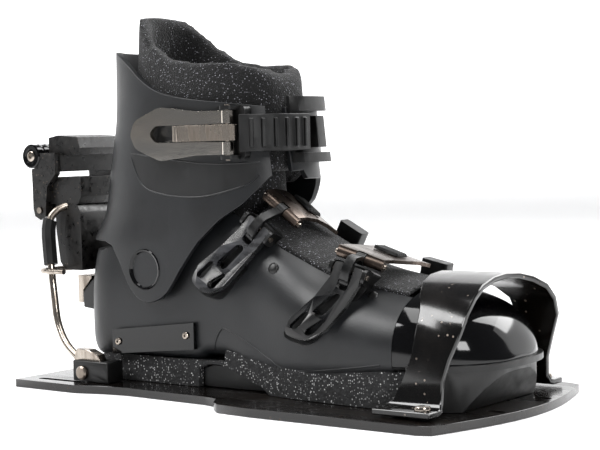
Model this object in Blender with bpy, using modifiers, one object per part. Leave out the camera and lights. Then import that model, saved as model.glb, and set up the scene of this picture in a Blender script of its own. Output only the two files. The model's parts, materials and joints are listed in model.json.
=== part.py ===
"""Slalom water-ski boot binding: one hard-shell boot held on a mounting plate by a toe hoop and a
sprung heel release, as separate named pieces.

Frame: +X towards the toe, +Y towards the inner side of a right foot, +Z up. The origin is on the
underside of the base plate, midway along it. Sizes in this file are millimetres and are turned into
metres where a mesh is made.
"""
import math

import bmesh
import bpy
from mathutils import Matrix, Vector

MM = 0.001
GAP = 0.3                    # running gap kept between touching pieces

# ---- driving dimensions (mm) ----
PLATE_LENGTH = 344.0
PLATE_THICKNESS = 5.0
PLATE_HALF_WIDTH = 85.0
TAIL_HALF_WIDTH = 68.0
FRONT_BOW = 17.0             # how far the front edge bows forward of its corners

HEEL_X = -149.0              # back of the boot heel
TOE_X = 162.0                # tip of the toe
HEEL_RADIUS = 36.0
TOE_BALL_X = 100.0           # widest station of the forefoot
BALL_HALF_WIDTH = 54.0
SHELL_WALL = 3.5
TOE_SPLIT_X = 112.0          # joint between shell and toe cap
THROAT_HALF_WIDTH = 31.0

ANKLE_X, ANKLE_Z = -76.0, 77.0
ANKLE_RADIUS = 12.7
CUFF_WALL = 3.5
LINER_WALL = 8.0
SLIT_NEAR_Y, SLIT_FAR_Y = -24.0, -12.0

BAIL_PIVOT_X, BAIL_PIVOT_Z = -122.0, 11.0
WIRE_RADIUS = 2.4
SLEEVE_RADIUS = 4.7
LEVER_PIVOT_X, LEVER_PIVOT_Z = -183.0, 112.0
CROSSBAR_X, CROSSBAR_Z = -160.0, 116.0
LEG_Y = 34.0                 # half spacing of the bail legs at the release unit
FOOT_Y = 48.0                # half spacing of the bail legs at the plate
STEM_X = -158.0              # axis of the spring and jaw stem

NEAR, FAR = -1.0, 1.0        # side signs: near is the outer side of the foot

# ---- profile tables (mm): each holds only the stations its curve needs ----
SIDE_HALF_WIDTH = [(-113, 36), (-75, 37.5), (-40, 37.5), (0, 41), (40, 48.5), (75, 53), (100, 54)]
TOP_LINE = [(-149, 88), (-138, 104), (-122, 122), (-80, 130), (-42, 131), (-20, 127), (0, 114),
            (16, 101), (32, 92), (64, 79), (100, 72), (118, 69), (138, 63), (150, 55), (158, 44),
            (162, 33)]
WIDEST_LINE = [(-149, 46), (-60, 50), (20, 50), (70, 38), (120, 34), (162, 30)]
SOLE_LINE = [(-149, 17), (-60, 19), (-44, 20), (-34, 24), (-24, 24), (0, 17), (25, 13.5), (45, 14),
             (80, 18), (119, 23), (150, 26), (162, 28)]
UPPER_POWER = [(-149, 2.3), (-80, 2.4), (-20, 3.2), (20, 2.8), (60, 2.4), (162, 2.3)]
LOWER_POWER = [(-149, 3.2), (-120, 6), (20, 6), (80, 4.5), (162, 3.6)]
CUFF_BACK = [(46, -147), (90, -146), (112, -134), (138, -129), (174, -122), (216, -120)]
CUFF_FRONT = [(46, 22), (90, 22), (112, 20), (138, 16), (174, 12), (216, 6)]
CUFF_HALF_WIDTH = [(46, 45.5), (90, 45.5), (112, 45), (138, 44), (174, 43.5), (216, 44)]
COLLAR_BACK = [(100, -128), (138, -123), (174, -114), (200, -106), (238, -103)]
COLLAR_FRONT = [(100, 12), (138, 10), (174, 7), (200, 5), (238, 2)]
COLLAR_HALF_WIDTH = [(100, 39), (138, 38.5), (174, 38), (200, 38), (238, 36.5)]


def smooth_value(table, at):
    """Cubic Hermite value of a station table, with slopes limited so that it never overshoots."""
    if at <= table[0][0]:
        return table[0][1]
    if at >= table[-1][0]:
        return table[-1][1]
    steps = [(b[1] - a[1]) / (b[0] - a[0]) for a, b in zip(table, table[1:])]
    index = next(i for i in range(len(steps)) if at <= table[i + 1][0])

    def slope(i):
        if i == 0:
            return steps[0]
        if i == len(steps):
            return steps[-1]
        if steps[i - 1] * steps[i] <= 0:
            return 0.0
        return 2 * steps[i - 1] * steps[i] / (steps[i - 1] + steps[i])

    x0, y0 = table[index]
    x1, y1 = table[index + 1]
    h = x1 - x0
    t = (at - x0) / h
    return ((2 * t ** 3 - 3 * t ** 2 + 1) * y0 + (t ** 3 - 2 * t ** 2 + t) * h * slope(index)
            + (3 * t ** 2 - 2 * t ** 3) * y1 + (t ** 3 - t ** 2) * h * slope(index + 1))


def signed_power(value, exponent):
    return math.copysign(abs(value) ** exponent, value)


# ---- scene helpers ----
def clear_scene():
    for old in list(bpy.data.objects):
        bpy.data.objects.remove(old)


def new_collection(name):
    collection = bpy.data.collections.new(name)
    bpy.context.scene.collection.children.link(collection)
    return collection


def new_material(name, colour, roughness, metallic=0.0):
    material = bpy.data.materials.new(name)
    material.use_nodes = True
    shader = material.node_tree.nodes["Principled BSDF"]
    shader.inputs["Base Color"].default_value = (*colour, 1.0)
    shader.inputs["Roughness"].default_value = roughness
    shader.inputs["Metallic"].default_value = metallic
    return material


clear_scene()
PARTS = new_collection("boot_binding")
CUTTERS = new_collection("cutters")

PLATE_BLACK = new_material("plate_black", (0.03, 0.026, 0.022), 0.25)
SHELL_PLASTIC = new_material("shell_plastic", (0.035, 0.037, 0.042), 0.5)
GLOSS_BLACK = new_material("gloss_black", (0.01, 0.01, 0.012), 0.12)
CAST_BLACK = new_material("cast_black", (0.02, 0.02, 0.02), 0.4, 0.3)
GRIP_GREY = new_material("grip_grey", (0.16, 0.16, 0.165), 0.9)
LINER_CLOTH = new_material("liner_cloth", (0.03, 0.03, 0.034), 0.95)
CHROME = new_material("chrome", (0.75, 0.74, 0.72), 0.12, 1.0)
STEEL = new_material("steel", (0.6, 0.58, 0.55), 0.25, 1.0)
BRONZE = new_material("bronze_plate", (0.42, 0.36, 0.31), 0.35, 1.0)
RUBBER = new_material("rubber_black", (0.012, 0.012, 0.012), 0.45)


def finish(obj, material):
    """Give a piece its material and shade it smooth up to its sharp edges."""
    obj.data.materials.clear()
    obj.data.materials.append(material)
    obj.data.shade_smooth()
    obj.data.set_sharp_from_angle(angle=math.radians(32))
    return obj


def add_mesh(name, verts, faces, material, collection=None):
    mesh = bpy.data.meshes.new(name)
    mesh.from_pydata([Vector(v) * MM for v in verts], [], faces)
    mesh.update()
    obj = bpy.data.objects.new(name, mesh)
    (collection or PARTS).objects.link(obj)
    return finish(obj, material)


def from_bmesh(name, shape, material, collection=None):
    mesh = bpy.data.meshes.new(name)
    shape.to_mesh(mesh)
    shape.free()
    obj = bpy.data.objects.new(name, mesh)
    (collection or PARTS).objects.link(obj)
    return finish(obj, material)


def hide_cutter(obj):
    obj.hide_render = True
    obj.display_type = "WIRE"
    return obj


def bevel(obj, width, segments=2, angle=30.0):
    modifier = obj.modifiers.new("edge", "BEVEL")
    modifier.width = width * MM
    modifier.segments = segments
    modifier.limit_method = "ANGLE"
    modifier.angle_limit = math.radians(angle)
    return obj


def cut(obj, cutter, operation="DIFFERENCE"):
    modifier = obj.modifiers.new("cut_" + cutter.name, "BOOLEAN")
    modifier.object = cutter
    modifier.operation = operation
    modifier.solver = "EXACT"
    hide_cutter(cutter)
    return obj


def box(name, low, high, material, collection=None, round_edges=0.0):
    shape = bmesh.new()
    low, high = Vector(low), Vector(high)
    size = Matrix.Diagonal((*((high - low) * MM), 1.0))
    bmesh.ops.create_cube(shape, size=1.0, matrix=Matrix.Translation((low + high) / 2 * MM) @ size)
    obj = from_bmesh(name, shape, material, collection)
    if round_edges:
        bevel(obj, round_edges)
    return obj


def cylinder(name, start, end, radius, material, collection=None, sides=24, end_radius=None):
    start, end = Vector(start) * MM, Vector(end) * MM
    turn = (end - start).to_track_quat("Z", "Y").to_matrix().to_4x4()
    shape = bmesh.new()
    bmesh.ops.create_cone(shape, cap_ends=True, segments=sides, radius1=radius * MM,
                          radius2=(radius if end_radius is None else end_radius) * MM,
                          depth=(end - start).length,
                          matrix=Matrix.Translation((start + end) / 2) @ turn)
    return from_bmesh(name, shape, material, collection)


def turned(name, profile, base, direction, material, steps=28):
    """A turned piece: profile is (radius, height) from the top of the axis down its outer side."""
    mesh = bpy.data.meshes.new(name)
    mesh.from_pydata([(r * MM, 0.0, h * MM) for r, h in profile], [(i, i + 1) for i in
                                                                  range(len(profile) - 1)], [])
    obj = bpy.data.objects.new(name, mesh)
    PARTS.objects.link(obj)
    obj.data.materials.append(material)
    obj.location = Vector(base) * MM
    obj.rotation_mode = "QUATERNION"
    obj.rotation_quaternion = Vector(direction).to_track_quat("Z", "Y")
    screw = obj.modifiers.new("turn", "SCREW")
    screw.axis = "Z"
    screw.steps = steps
    screw.render_steps = steps
    screw.use_merge_vertices = True
    screw.merge_threshold = 0.00002
    screw.use_smooth_shade = True
    return obj


def curve_to_mesh(curve_object, name, material, collection=None):
    """Turn a curve into a mesh object with welded caps, and remove the curve."""
    bpy.context.view_layer.update()
    evaluated = curve_object.evaluated_get(bpy.context.evaluated_depsgraph_get())
    mesh = bpy.data.meshes.new_from_object(evaluated)
    shape = bmesh.new()
    shape.from_mesh(mesh)
    bmesh.ops.remove_doubles(shape, verts=shape.verts, dist=0.00001)
    shape.to_mesh(mesh)
    shape.free()
    mesh.name = name
    obj = bpy.data.objects.new(name, mesh)
    obj.matrix_world = curve_object.matrix_world.copy()
    (collection or PARTS).objects.link(obj)
    bpy.data.objects.remove(curve_object)
    return finish(obj, material)


def tube(name, points, radius, material, collection=None, resolution=2, closed=False):
    curve = bpy.data.curves.new(name, "CURVE")
    curve.dimensions = "3D"
    spline = curve.splines.new("POLY")
    spline.points.add(len(points) - 1)
    for target, point in zip(spline.points, points):
        target.co = (*(Vector(point) * MM), 1.0)
    spline.use_cyclic_u = closed
    curve.bevel_depth = radius * MM
    curve.bevel_resolution = resolution
    curve.use_fill_caps = not closed
    holder = bpy.data.objects.new(name + "_route", curve)
    (collection or PARTS).objects.link(holder)
    return curve_to_mesh(holder, name, material, collection)


def flat_plate(name, outlines, thickness, placement, material, collection=None):
    """A flat piece: a closed outline, then outlines of its holes, in the placement's XY plane."""
    curve = bpy.data.curves.new(name, "CURVE")
    curve.dimensions = "2D"
    curve.fill_mode = "BOTH"
    curve.extrude = thickness / 2 * MM
    for outline in outlines:
        spline = curve.splines.new("POLY")
        spline.points.add(len(outline) - 1)
        for target, (x, y) in zip(spline.points, outline):
            target.co = (x * MM, y * MM, 0.0, 1.0)
        spline.use_cyclic_u = True
    holder = bpy.data.objects.new(name + "_outline", curve)
    holder.matrix_world = placement
    (collection or PARTS).objects.link(holder)
    return curve_to_mesh(holder, name, material, collection)


def side_prism(name, profile, y_low, y_high, material=None, collection=None):
    """A prism whose (x, z) profile runs from y_low to y_high."""
    count = len(profile)
    verts = [(x, y_low, z) for x, z in profile] + [(x, y_high, z) for x, z in profile]
    area = sum(a[0] * b[1] - b[0] * a[1] for a, b in zip(profile, profile[1:] + profile[:1]))
    faces = [tuple(range(count)), tuple(reversed(range(count, 2 * count)))]
    faces += [(i, i + count, (i + 1) % count + count, (i + 1) % count) for i in range(count)]
    if area < 0:
        faces = [tuple(reversed(face)) for face in faces]
    return add_mesh(name, verts, faces, material or CAST_BLACK, collection or CUTTERS)


def loft(name, rings, material, collection=None):
    """A closed skin through equal-sized rings, capped at both ends."""
    count = len(rings[0])
    verts = [point for ring in rings for point in ring]
    faces = [tuple(reversed(range(count)))]
    for row in range(len(rings) - 1):
        for i in range(count):
            a, b = row * count + i, row * count + (i + 1) % count
            faces.append((a, b, b + count, a + count))
    faces.append(tuple(range((len(rings) - 1) * count, len(rings) * count)))
    obj = add_mesh(name, verts, faces, material, collection)
    shape = bmesh.new()
    shape.from_mesh(obj.data)
    bmesh.ops.recalc_face_normals(shape, faces=shape.faces)
    shape.to_mesh(obj.data)
    shape.free()
    return finish(obj, material)


def rounded_outline(corners, steps=5):
    """An outline with round corners, from (x, y, radius) corner points."""
    outline = []
    count = len(corners)
    for index, (x, y, radius) in enumerate(corners):
        here = Vector((x, y))
        before = Vector(corners[index - 1][:2]) - here
        after = Vector(corners[(index + 1) % count][:2]) - here
        if radius <= 0:
            outline.append((x, y))
            continue
        half = before.angle(after) / 2
        reach = min(radius / math.tan(half), 0.49 * before.length, 0.49 * after.length)
        start = here + before.normalized() * reach
        end = here + after.normalized() * reach
        for step in range(steps + 1):
            t = step / steps
            point = start * (1 - t) ** 2 + here * 2 * t * (1 - t) + end * t ** 2
            outline.append((point.x, point.y))
    return outline


def slot_outline(x0, y0, x1, y1, r0, r1=None, steps=6):
    """A slot or teardrop between two round ends."""
    r1 = r0 if r1 is None else r1
    heading = math.atan2(y1 - y0, x1 - x0)
    points = []
    for x, y, r, start in ((x1, y1, r1, heading - math.pi / 2), (x0, y0, r0, heading + math.pi / 2)):
        points += [(x + r * math.cos(start + math.pi * i / steps),
                    y + r * math.sin(start + math.pi * i / steps)) for i in range(steps + 1)]
    return points


def smooth_route(points, per_span=4):
    """Points along a smooth curve through the given route points."""
    ends = [points[0]] + list(points) + [points[-1]]
    route = []
    for i in range(1, len(ends) - 2):
        a, b, c, d = (Vector(p) for p in ends[i - 1:i + 3])
        for step in range(per_span):
            t = step / per_span
            route.append(0.5 * (2 * b + (c - a) * t + (2 * a - 5 * b + 4 * c - d) * t ** 2
                                + (3 * b - a - 3 * c + d) * t ** 3))
    route.append(Vector(points[-1]))
    return route


def turn_about(pivot, pieces):
    """Stand the origins of the pieces on their joint's axis, without moving them."""
    bpy.context.view_layer.update()
    for piece in pieces:
        world = piece.matrix_world.copy()
        shift = world.inverted() @ (Vector(pivot) * MM)
        piece.data.transform(Matrix.Translation(-shift))
        piece.matrix_world = world @ Matrix.Translation(shift)


# ---- boot surface ----
def half_width(x, inset=0.0):
    """Half width of the foot shell: round heel, table along the waist, round toe."""
    heel_centre = HEEL_X + HEEL_RADIUS
    if x < heel_centre:
        radius = HEEL_RADIUS - inset
        return radius * max(0.0, 1 - (abs(x - heel_centre) / radius) ** 2.2) ** (1 / 2.2)
    if x <= TOE_BALL_X:
        return smooth_value(SIDE_HALF_WIDTH, x) - inset
    reach = (x - TOE_BALL_X) / (TOE_X - TOE_BALL_X - inset)
    return (BALL_HALF_WIDTH - inset) * max(0.0, 1 - reach ** 2.6) ** (1 / 2.6)


def shell_ring(x, inset=0.0, count=28):
    """Section of the foot shell at one station, flat below and round above."""
    wide = half_width(x, inset)
    middle = smooth_value(WIDEST_LINE, x)
    rise = smooth_value(TOP_LINE, x) - inset - middle
    drop = middle - smooth_value(SOLE_LINE, x) - inset
    up, down = 2 / smooth_value(UPPER_POWER, x), 2 / smooth_value(LOWER_POWER, x)
    ring = []
    for i in range(count):
        angle = 2 * math.pi * (i + 0.5) / count
        c, s = math.cos(angle), math.sin(angle)
        if s >= 0:
            ring.append((x, wide * signed_power(c, up), middle + rise * s ** up))
        else:
            ring.append((x, wide * signed_power(c, down), middle - drop * (-s) ** down))
    return ring


def foot_stations(inset, start=None, end=None):
    """Stations along the foot, close together round the heel and the toe."""
    heel_radius, toe_reach = HEEL_RADIUS - inset, TOE_X - TOE_BALL_X - inset
    heel = [HEEL_X + HEEL_RADIUS - heel_radius * math.cos(math.radians(a)) for a in
            (9, 20, 32, 45, 58, 72, 90)]
    waist = [-92, -70, -48, -28, -10, 8, 26, 44, 62, 81, 100]
    toe = [TOE_BALL_X + toe_reach * math.sin(math.radians(a)) for a in (12, 24, 36, 48, 59, 69, 79)]
    stations = heel + waist + toe
    low = stations[0] if start is None else start
    high = stations[-1] if end is None else end
    return [low] + [x for x in stations if low + 2 < x < high - 2] + [high]


def foot_loft(name, inset, material, start=None, end=None, collection=None):
    rings = [shell_ring(x, inset) for x in foot_stations(inset, start, end)]
    return loft(name, rings, material, collection)


def stack_ring(tables, z, inset=0.0, count=36):
    """Horizontal section of the cuff or the collar, as a rounded oblong."""
    back, front, side = (smooth_value(table, z) for table in tables)
    centre, reach = (front + back) / 2, (front - back) / 2 - inset
    ring = []
    for i in range(count):
        angle = 2 * math.pi * i / count
        ring.append((centre + reach * signed_power(math.cos(angle), 2 / 2.5),
                     (side - inset) * signed_power(math.sin(angle), 2 / 2.5), z))
    return ring


CUFF_TABLES = (CUFF_BACK, CUFF_FRONT, CUFF_HALF_WIDTH)
COLLAR_TABLES = (COLLAR_BACK, COLLAR_FRONT, COLLAR_HALF_WIDTH)


# ---- base plate and toe hoop ----
def build_plate():
    corner_x = PLATE_LENGTH / 2 - FRONT_BOW
    tail_x = -PLATE_LENGTH / 2
    half = [(tail_x, TAIL_HALF_WIDTH - 1.5), (-118, TAIL_HALF_WIDTH), (-98, 62.5), (-80, 60),
            (-14, 63.5), (-4, 66), (2, 75), (10, 81.5), (36, 84), (corner_x - 8, PLATE_HALF_WIDTH)]
    steps = 14
    front = [(corner_x + FRONT_BOW * math.cos(math.pi / 2 * s),
              -(PLATE_HALF_WIDTH - 3) * s) for s in [1 - 2 * i / steps for i in range(steps + 1)]]
    near = [(x, -y) for x, y in half]
    outline = near + front + [(x, y) for x, y in reversed(half)]
    slots = [slot_outline(-158, side * 56, -122, side * 56, 2.4) for side in (-1, 1)]
    slots += [slot_outline(158, side * 26, 164, side * 26, 2.4) for side in (-1, 1)]
    slots += [slot_outline(-166, 8 * side, -166, 16 * side, 2.4) for side in (-1, 1)]
    plate = flat_plate("base_plate", [outline] + slots, PLATE_THICKNESS,
                       Matrix.Translation((0, 0, PLATE_THICKNESS / 2 * MM)), PLATE_BLACK)
    bevel(plate, 1.2, 1, 60)
    return plate


HOOP_PATH = [(-74, 8.3), (-64, 8.3), (-60.5, 9.2), (-58.6, 13), (-58, 24), (-57, 36), (-54, 50),
             (-48.5, 60), (-40, 67.5), (-28, 72.5), (-14, 75.6), (0, 76.6)]
HOOP_REAR_X = [(0, 107), (5, 109), (14, 117), (26, 123), (40, 128), (56, 129), (66, 124), (72, 117),
               (76.6, 111)]
HOOP_FRONT_X = [(0, 152), (14, 147), (26, 148), (40, 153), (56, 158), (66, 158), (72, 156),
                (76.6, 154)]
HOOP_THICKNESS = 3.4


def build_hoop():
    """The toe hoop: a bent strip whose edges are wider at the crown and at its feet."""
    path = [Vector(p) for p in HOOP_PATH] + [Vector((-y, z)) for y, z in reversed(HOOP_PATH[:-1])]
    rings = []
    for i, here in enumerate(path):
        along = (path[min(i + 1, len(path) - 1)] - path[max(i - 1, 0)]).normalized()
        outward = Vector((-along.y, along.x))
        outer, inner = here + outward * HOOP_THICKNESS / 2, here - outward * HOOP_THICKNESS / 2
        rear, front = smooth_value(HOOP_REAR_X, here.y), smooth_value(HOOP_FRONT_X, here.y)
        rings.append([(rear, inner.x, inner.y), (front, inner.x, inner.y),
                      (front, outer.x, outer.y), (rear, outer.x, outer.y)])
    hoop = loft("toe_hoop", rings, GLOSS_BLACK)
    screws = []
    for side in (NEAR, FAR):
        name = "hoop_screw_%s" % ("near" if side < 0 else "far")
        hole = cylinder("cutter_" + name, (140, side * 67, 0), (140, side * 67, 30), 2.6, STEEL,
                        CUTTERS, 16)
        cut(hoop, hole)
        screws.append(turned(name, [(0, 12.4), (2.6, 12.4), (4.2, 11.6), (4.4, 10.3), (2.3, 10.3),
                                    (2.3, 5.3), (0, 5.3)],
                             (140, side * 67, 0), (0, 0, 1), STEEL, 16))
    bevel(hoop, 0.6, 1, 40)
    return hoop, screws


# ---- boot: sole, shell, toe ----
def toe_outline(x_low, margin, steps=20):
    """Closed plan outline of the toe in front of a station, offset outwards by margin."""
    arc = []
    for i in range(steps + 1):
        angle = math.pi * (i / steps - 0.5)
        x = TOE_BALL_X + (TOE_X - TOE_BALL_X + margin) * abs(math.cos(angle)) ** (2 / 2.6)
        y = (BALL_HALF_WIDTH + margin) * signed_power(math.sin(angle), 2 / 2.6)
        arc.append((x, y))
    kept = [(x, y) for x, y in arc if x > x_low + 1]
    span = BALL_HALF_WIDTH + margin
    side = span * (1 - ((x_low - TOE_BALL_X) / (TOE_X - TOE_BALL_X + margin)) ** 2.6) ** (1 / 2.6)
    return [(x_low, -side)] + kept + [(x_low, side)]


def build_sole():
    """Grip sole: thick under heel and forefoot, a thin band over the open arch."""
    outline = [(-143, 0), (-141, -14), (-134, -24), (-122, -32), (-104, -35), (-60, -36), (-30, -37),
               (0, -40), (40, -47), (80, -51), (104, -52), (121, -50.5)]
    full = outline + [(x, -y) for x, y in reversed(outline[1:])]
    sole = flat_plate("grip_sole", [full], 32.0, Matrix.Translation((0, 0, 0.0213)), GRIP_GREY)
    side = side_prism("cutter_sole_side",
                      [(-150, 5.3), (-42, 5.3), (-41, 17), (-33, 20), (-23, 20), (-2, 13.5), (12, 9.5),
                       (18, 5.3), (109, 5.3), (120.5, 24), (120.5, 31), (-18, 31),
                       (-20, 21.6), (-150, 21.6)], -90, 90)
    cut(sole, side, "INTERSECT")
    above = foot_loft("cutter_sole_top", -GAP, CAST_BLACK, collection=CUTTERS)
    cut(sole, above)
    upper = box("cutter_sole_upper", (-160, -90, 30), (130, 90, 90), CAST_BLACK, CUTTERS)
    cut(sole, upper)
    arch = side_prism("arch_block", [(-40.6, 5.3), (-40.6, 16.3), (-32.6, 19.2), (-23.2, 19.2),
                                     (-2.4, 12.7), (11.6, 8.7), (16.2, 5.3)], -33, 33, RUBBER, PARTS)
    return sole, arch


def build_shell():
    """Lower shell: hollow, open at the ankle and along the instep, ending at the toe cap."""
    shell = foot_loft("lower_shell", 0.0, SHELL_PLASTIC, end=TOE_SPLIT_X - GAP / 2)
    hollow = foot_loft("cutter_shell_hollow", SHELL_WALL, CAST_BLACK, end=TOE_SPLIT_X + 6,
                       collection=CUTTERS)
    cut(shell, hollow)
    ankle = side_prism("cutter_ankle_opening",
                       [(-170, 87), (-126, 87), (-104, 92), (-66, 98), (-36, 103), (-20, 113),
                        (-12, 117), (-12, 200), (-170, 200)], -90, 90)
    cut(shell, ankle)
    throat = box("cutter_throat", (-30, -THROAT_HALF_WIDTH, 46), (130, THROAT_HALF_WIDTH, 200),
                 CAST_BLACK, CUTTERS)
    cut(shell, throat)
    return shell


def build_toe_cap():
    cap = foot_loft("toe_cap", 0.0, GLOSS_BLACK, start=TOE_SPLIT_X + GAP / 2)
    hollow = foot_loft("cutter_cap_hollow", SHELL_WALL, CAST_BLACK, start=TOE_SPLIT_X - 6,
                       collection=CUTTERS)
    cut(cap, hollow)
    return cap


def build_toe_lug():
    """Black lug under the toe, with the welt that stands out round its top."""
    lug = flat_plate("toe_lug", [toe_outline(121, -1.0)], 30.0,
                     Matrix.Translation((0, 0, 0.0203)), RUBBER)
    side = side_prism("cutter_lug_side", [(121, 5.3), (148, 5.3), (160, 24), (164, 28), (164, 60), (121, 60)],
                      -90, 90)
    cut(lug, side, "INTERSECT")
    upper = box("cutter_lug_upper", (100, -90, 28.6), (180, 90, 90), CAST_BLACK, CUTTERS)
    cut(lug, upper)
    welt = flat_plate("cutter_toe_welt", [toe_outline(122, 2.8)], 3.6,
                      Matrix.Translation((0, 0, 0.0293)), RUBBER, CUTTERS)
    cut(lug, welt, "UNION")
    cut(lug, foot_loft("cutter_welt_inner", -GAP, CAST_BLACK, collection=CUTTERS))
    return lug


# ---- soft parts ----
def build_liner():
    """Foot part of the liner, the tongue that fills the throat, and the collar round the leg."""
    stations = foot_stations(SHELL_WALL + 2.4)
    middle = stations[3:-2:2]
    foot = loft("liner_foot", [shell_ring(x, SHELL_WALL + 2.4) for x in
                               stations[:1] + middle + stations[-1:]], LINER_CLOTH)
    hollow = loft("cutter_liner_hollow", [shell_ring(x, SHELL_WALL + 6.0) for x in
                                          [stations[0] + 4.6] + middle + [stations[-1] - 4.6]],
                  CAST_BLACK, CUTTERS)
    cut(foot, hollow)
    cut(foot, side_prism("cutter_liner_ankle",
                         [(-171, 84.3), (-120, 84.3), (-100, 89.5), (2.7, 89.5), (2.7, 210), (-171, 210)],
                         -90, 90))
    neck = loft("liner_neck", [stack_ring(COLLAR_TABLES, z, LINER_WALL + 6.5) for z in
                               (91, 103, 115, 128, 140)], LINER_CLOTH)
    cut(neck, loft("cutter_neck_hollow", [stack_ring(COLLAR_TABLES, z, LINER_WALL + 10.0) for z in
                                          (80, 115, 160)], CAST_BLACK, CUTTERS))

    rings = []
    for x in (108, 96, 84, 72, 60, 48, 36, 25, 15, 6, -1):
        wide = THROAT_HALF_WIDTH - 1.0
        outer = section_arc(x, -1.2, wide)
        inner = section_arc(x, 1.2, wide)
        rings.append(outer + list(reversed(inner)))
    tongue = loft("liner_tongue", rings, LINER_CLOTH)

    heights = [110 + 15.9 * i for i in range(9)]
    collar = loft("liner_collar", [stack_ring(COLLAR_TABLES, z) for z in heights], LINER_CLOTH)
    inside = loft("cutter_collar_hollow", [stack_ring(COLLAR_TABLES, z, LINER_WALL) for z in
                                           range(94, 256, 12)], CAST_BLACK, CUTTERS)
    cut(collar, inside)
    cut(collar, side_prism("cutter_collar_rim",
                           [(-130, 236), (-98, 236), (-90, 229), (-78, 217), (-62, 208.5), (-40, 204),
                            (-14, 202), (-2, 198), (6, 190), (30, 184), (30, 300), (-130, 300)],
                           -90, 90))
    cut(collar, side_prism("cutter_collar_foot", [(-150, 114), (-60, 122), (-14, 128), (-2, 135),
                                                  (40, 137), (40, 60), (-150, 60)], -90, 90))
    return foot, neck, tongue, collar


def section_arc(x, inset, wide, count=9):
    """Points over the instep at one station, from one side of the throat to the other."""
    full = half_width(x, inset)
    middle = smooth_value(WIDEST_LINE, x)
    rise = smooth_value(TOP_LINE, x) - inset - middle
    power = smooth_value(UPPER_POWER, x)
    arc = []
    for i in range(count):
        y = wide * (2 * i / (count - 1) - 1)
        arc.append((x, y, middle + rise * (1 - (abs(y) / full) ** power) ** (1 / power)))
    return arc


# ---- cuff and ankle ----
def build_cuff():
    """Hinged cuff with a front slit, a low lobe round each ankle pivot and a falling rim."""
    heights = [50, 62, 76, 90, 100, 112, 125, 138, 156, 174, 195, 216]
    cuff = loft("cuff", [stack_ring(CUFF_TABLES, z) for z in heights], SHELL_PLASTIC)
    inside = loft("cutter_cuff_hollow", [stack_ring(CUFF_TABLES, z, CUFF_WALL) for z in
                                         [40] + heights[1:-1] + [230]], CAST_BLACK, CUTTERS)
    cut(cuff, inside)
    cut(cuff, side_prism("cutter_cuff_rim",
                         [(-160, 212), (-114, 213), (-102, 210), (-90, 203), (-78, 194), (-64, 186.5),
                          (-46, 182), (-15, 178), (40, 171), (40, 300), (-160, 300)], -90, 90))
    lobe = [(-170, 93.5), (-116, 93.5), (-107, 91), (-99, 80), (-91, 66), (-83, 58.5), (-74, 56),
            (-65, 58.5), (-57, 64), (-47, 78), (-34, 94), (-18, 108), (-4, 117)]
    near_edge = lobe + [(4, 126), (9, 133), (40, 148), (40, 20), (-170, 20)]
    far_edge = lobe + [(9, 131), (40, 133), (40, 20), (-170, 20)]
    cut(cuff, side_prism("cutter_cuff_lower_near", near_edge, -90, SLIT_NEAR_Y + 2))
    cut(cuff, side_prism("cutter_cuff_lower_far", far_edge, SLIT_NEAR_Y + 1, 90))
    cut(cuff, box("cutter_cuff_slit", (-20, SLIT_NEAR_Y, 90), (60, SLIT_FAR_Y, 230), CAST_BLACK,
                  CUTTERS))
    for side in (NEAR, FAR):
        label = "near" if side < 0 else "far"
        cut(cuff, cylinder("cutter_ankle_" + label, (ANKLE_X, side * 30, ANKLE_Z),
                           (ANKLE_X, side * 60, ANKLE_Z), ANKLE_RADIUS + GAP, CAST_BLACK, CUTTERS, 32))
    return cuff


def build_ankle_rivets():
    rivets = []
    for side in (NEAR, FAR):
        label = "near" if side < 0 else "far"
        profile = [(0, 4.0), (6, 4.4), (9.5, 6.0), (11.2, 8.0), (12.2, 8.4), (ANKLE_RADIUS, 7.8),
                   (ANKLE_RADIUS, 0.0), (0, 0.0)]
        rivets.append(turned("ankle_rivet_" + label, profile, (ANKLE_X, side * 37.9, ANKLE_Z),
                             (0, side, 0), GLOSS_BLACK, 32))
    return rivets


# ---- buckles ----
def local_frame(pivot, across, along):
    """Frame on a buckle: X is the pin axis, Y runs to the nose, Z points away from the boot."""
    across = Vector(across).normalized()
    along = Vector(along)
    along = (along - across * along.dot(across)).normalized()
    outward = across.cross(along)
    if outward.y > 0:
        outward = -outward
    across = along.cross(outward)
    frame = Matrix((across, along, outward)).transposed().to_4x4()
    return Matrix.Translation(Vector(pivot) * MM) @ frame


def at(frame, x, y, z):
    """Place a point of a local frame (mm) in the part (mm)."""
    return (frame @ (Vector((x, y, z)) * MM)) / MM


def bar(name, frame, route, half_x, thickness, material, collection=None):
    """A strip of constant width along X that follows a (y, z) route in a local frame."""
    rings = []
    route = [Vector(p) for p in route]
    for i, here in enumerate(route):
        along = (route[min(i + 1, len(route) - 1)] - route[max(i - 1, 0)]).normalized()
        normal = Vector((-along.y, along.x)) * thickness / 2
        above, below = here + normal, here - normal
        rings.append([at(frame, sx, p.x, p.y) for sx, p in
                      ((-half_x, below), (half_x, below), (half_x, above), (-half_x, above))])
    return loft(name, rings, material, collection)


def pin_along_x(name, frame, y, z, low, high, radius, material, collection=None, sides=20):
    return cylinder(name, at(frame, low, y, z), at(frame, high, y, z), radius, material, collection,
                    sides)


def skewed(outline, skew):
    """Lean an outline sideways beyond its pin end."""
    return [(x + skew * max(0.0, y - 12), y) for x, y in outline]


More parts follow.
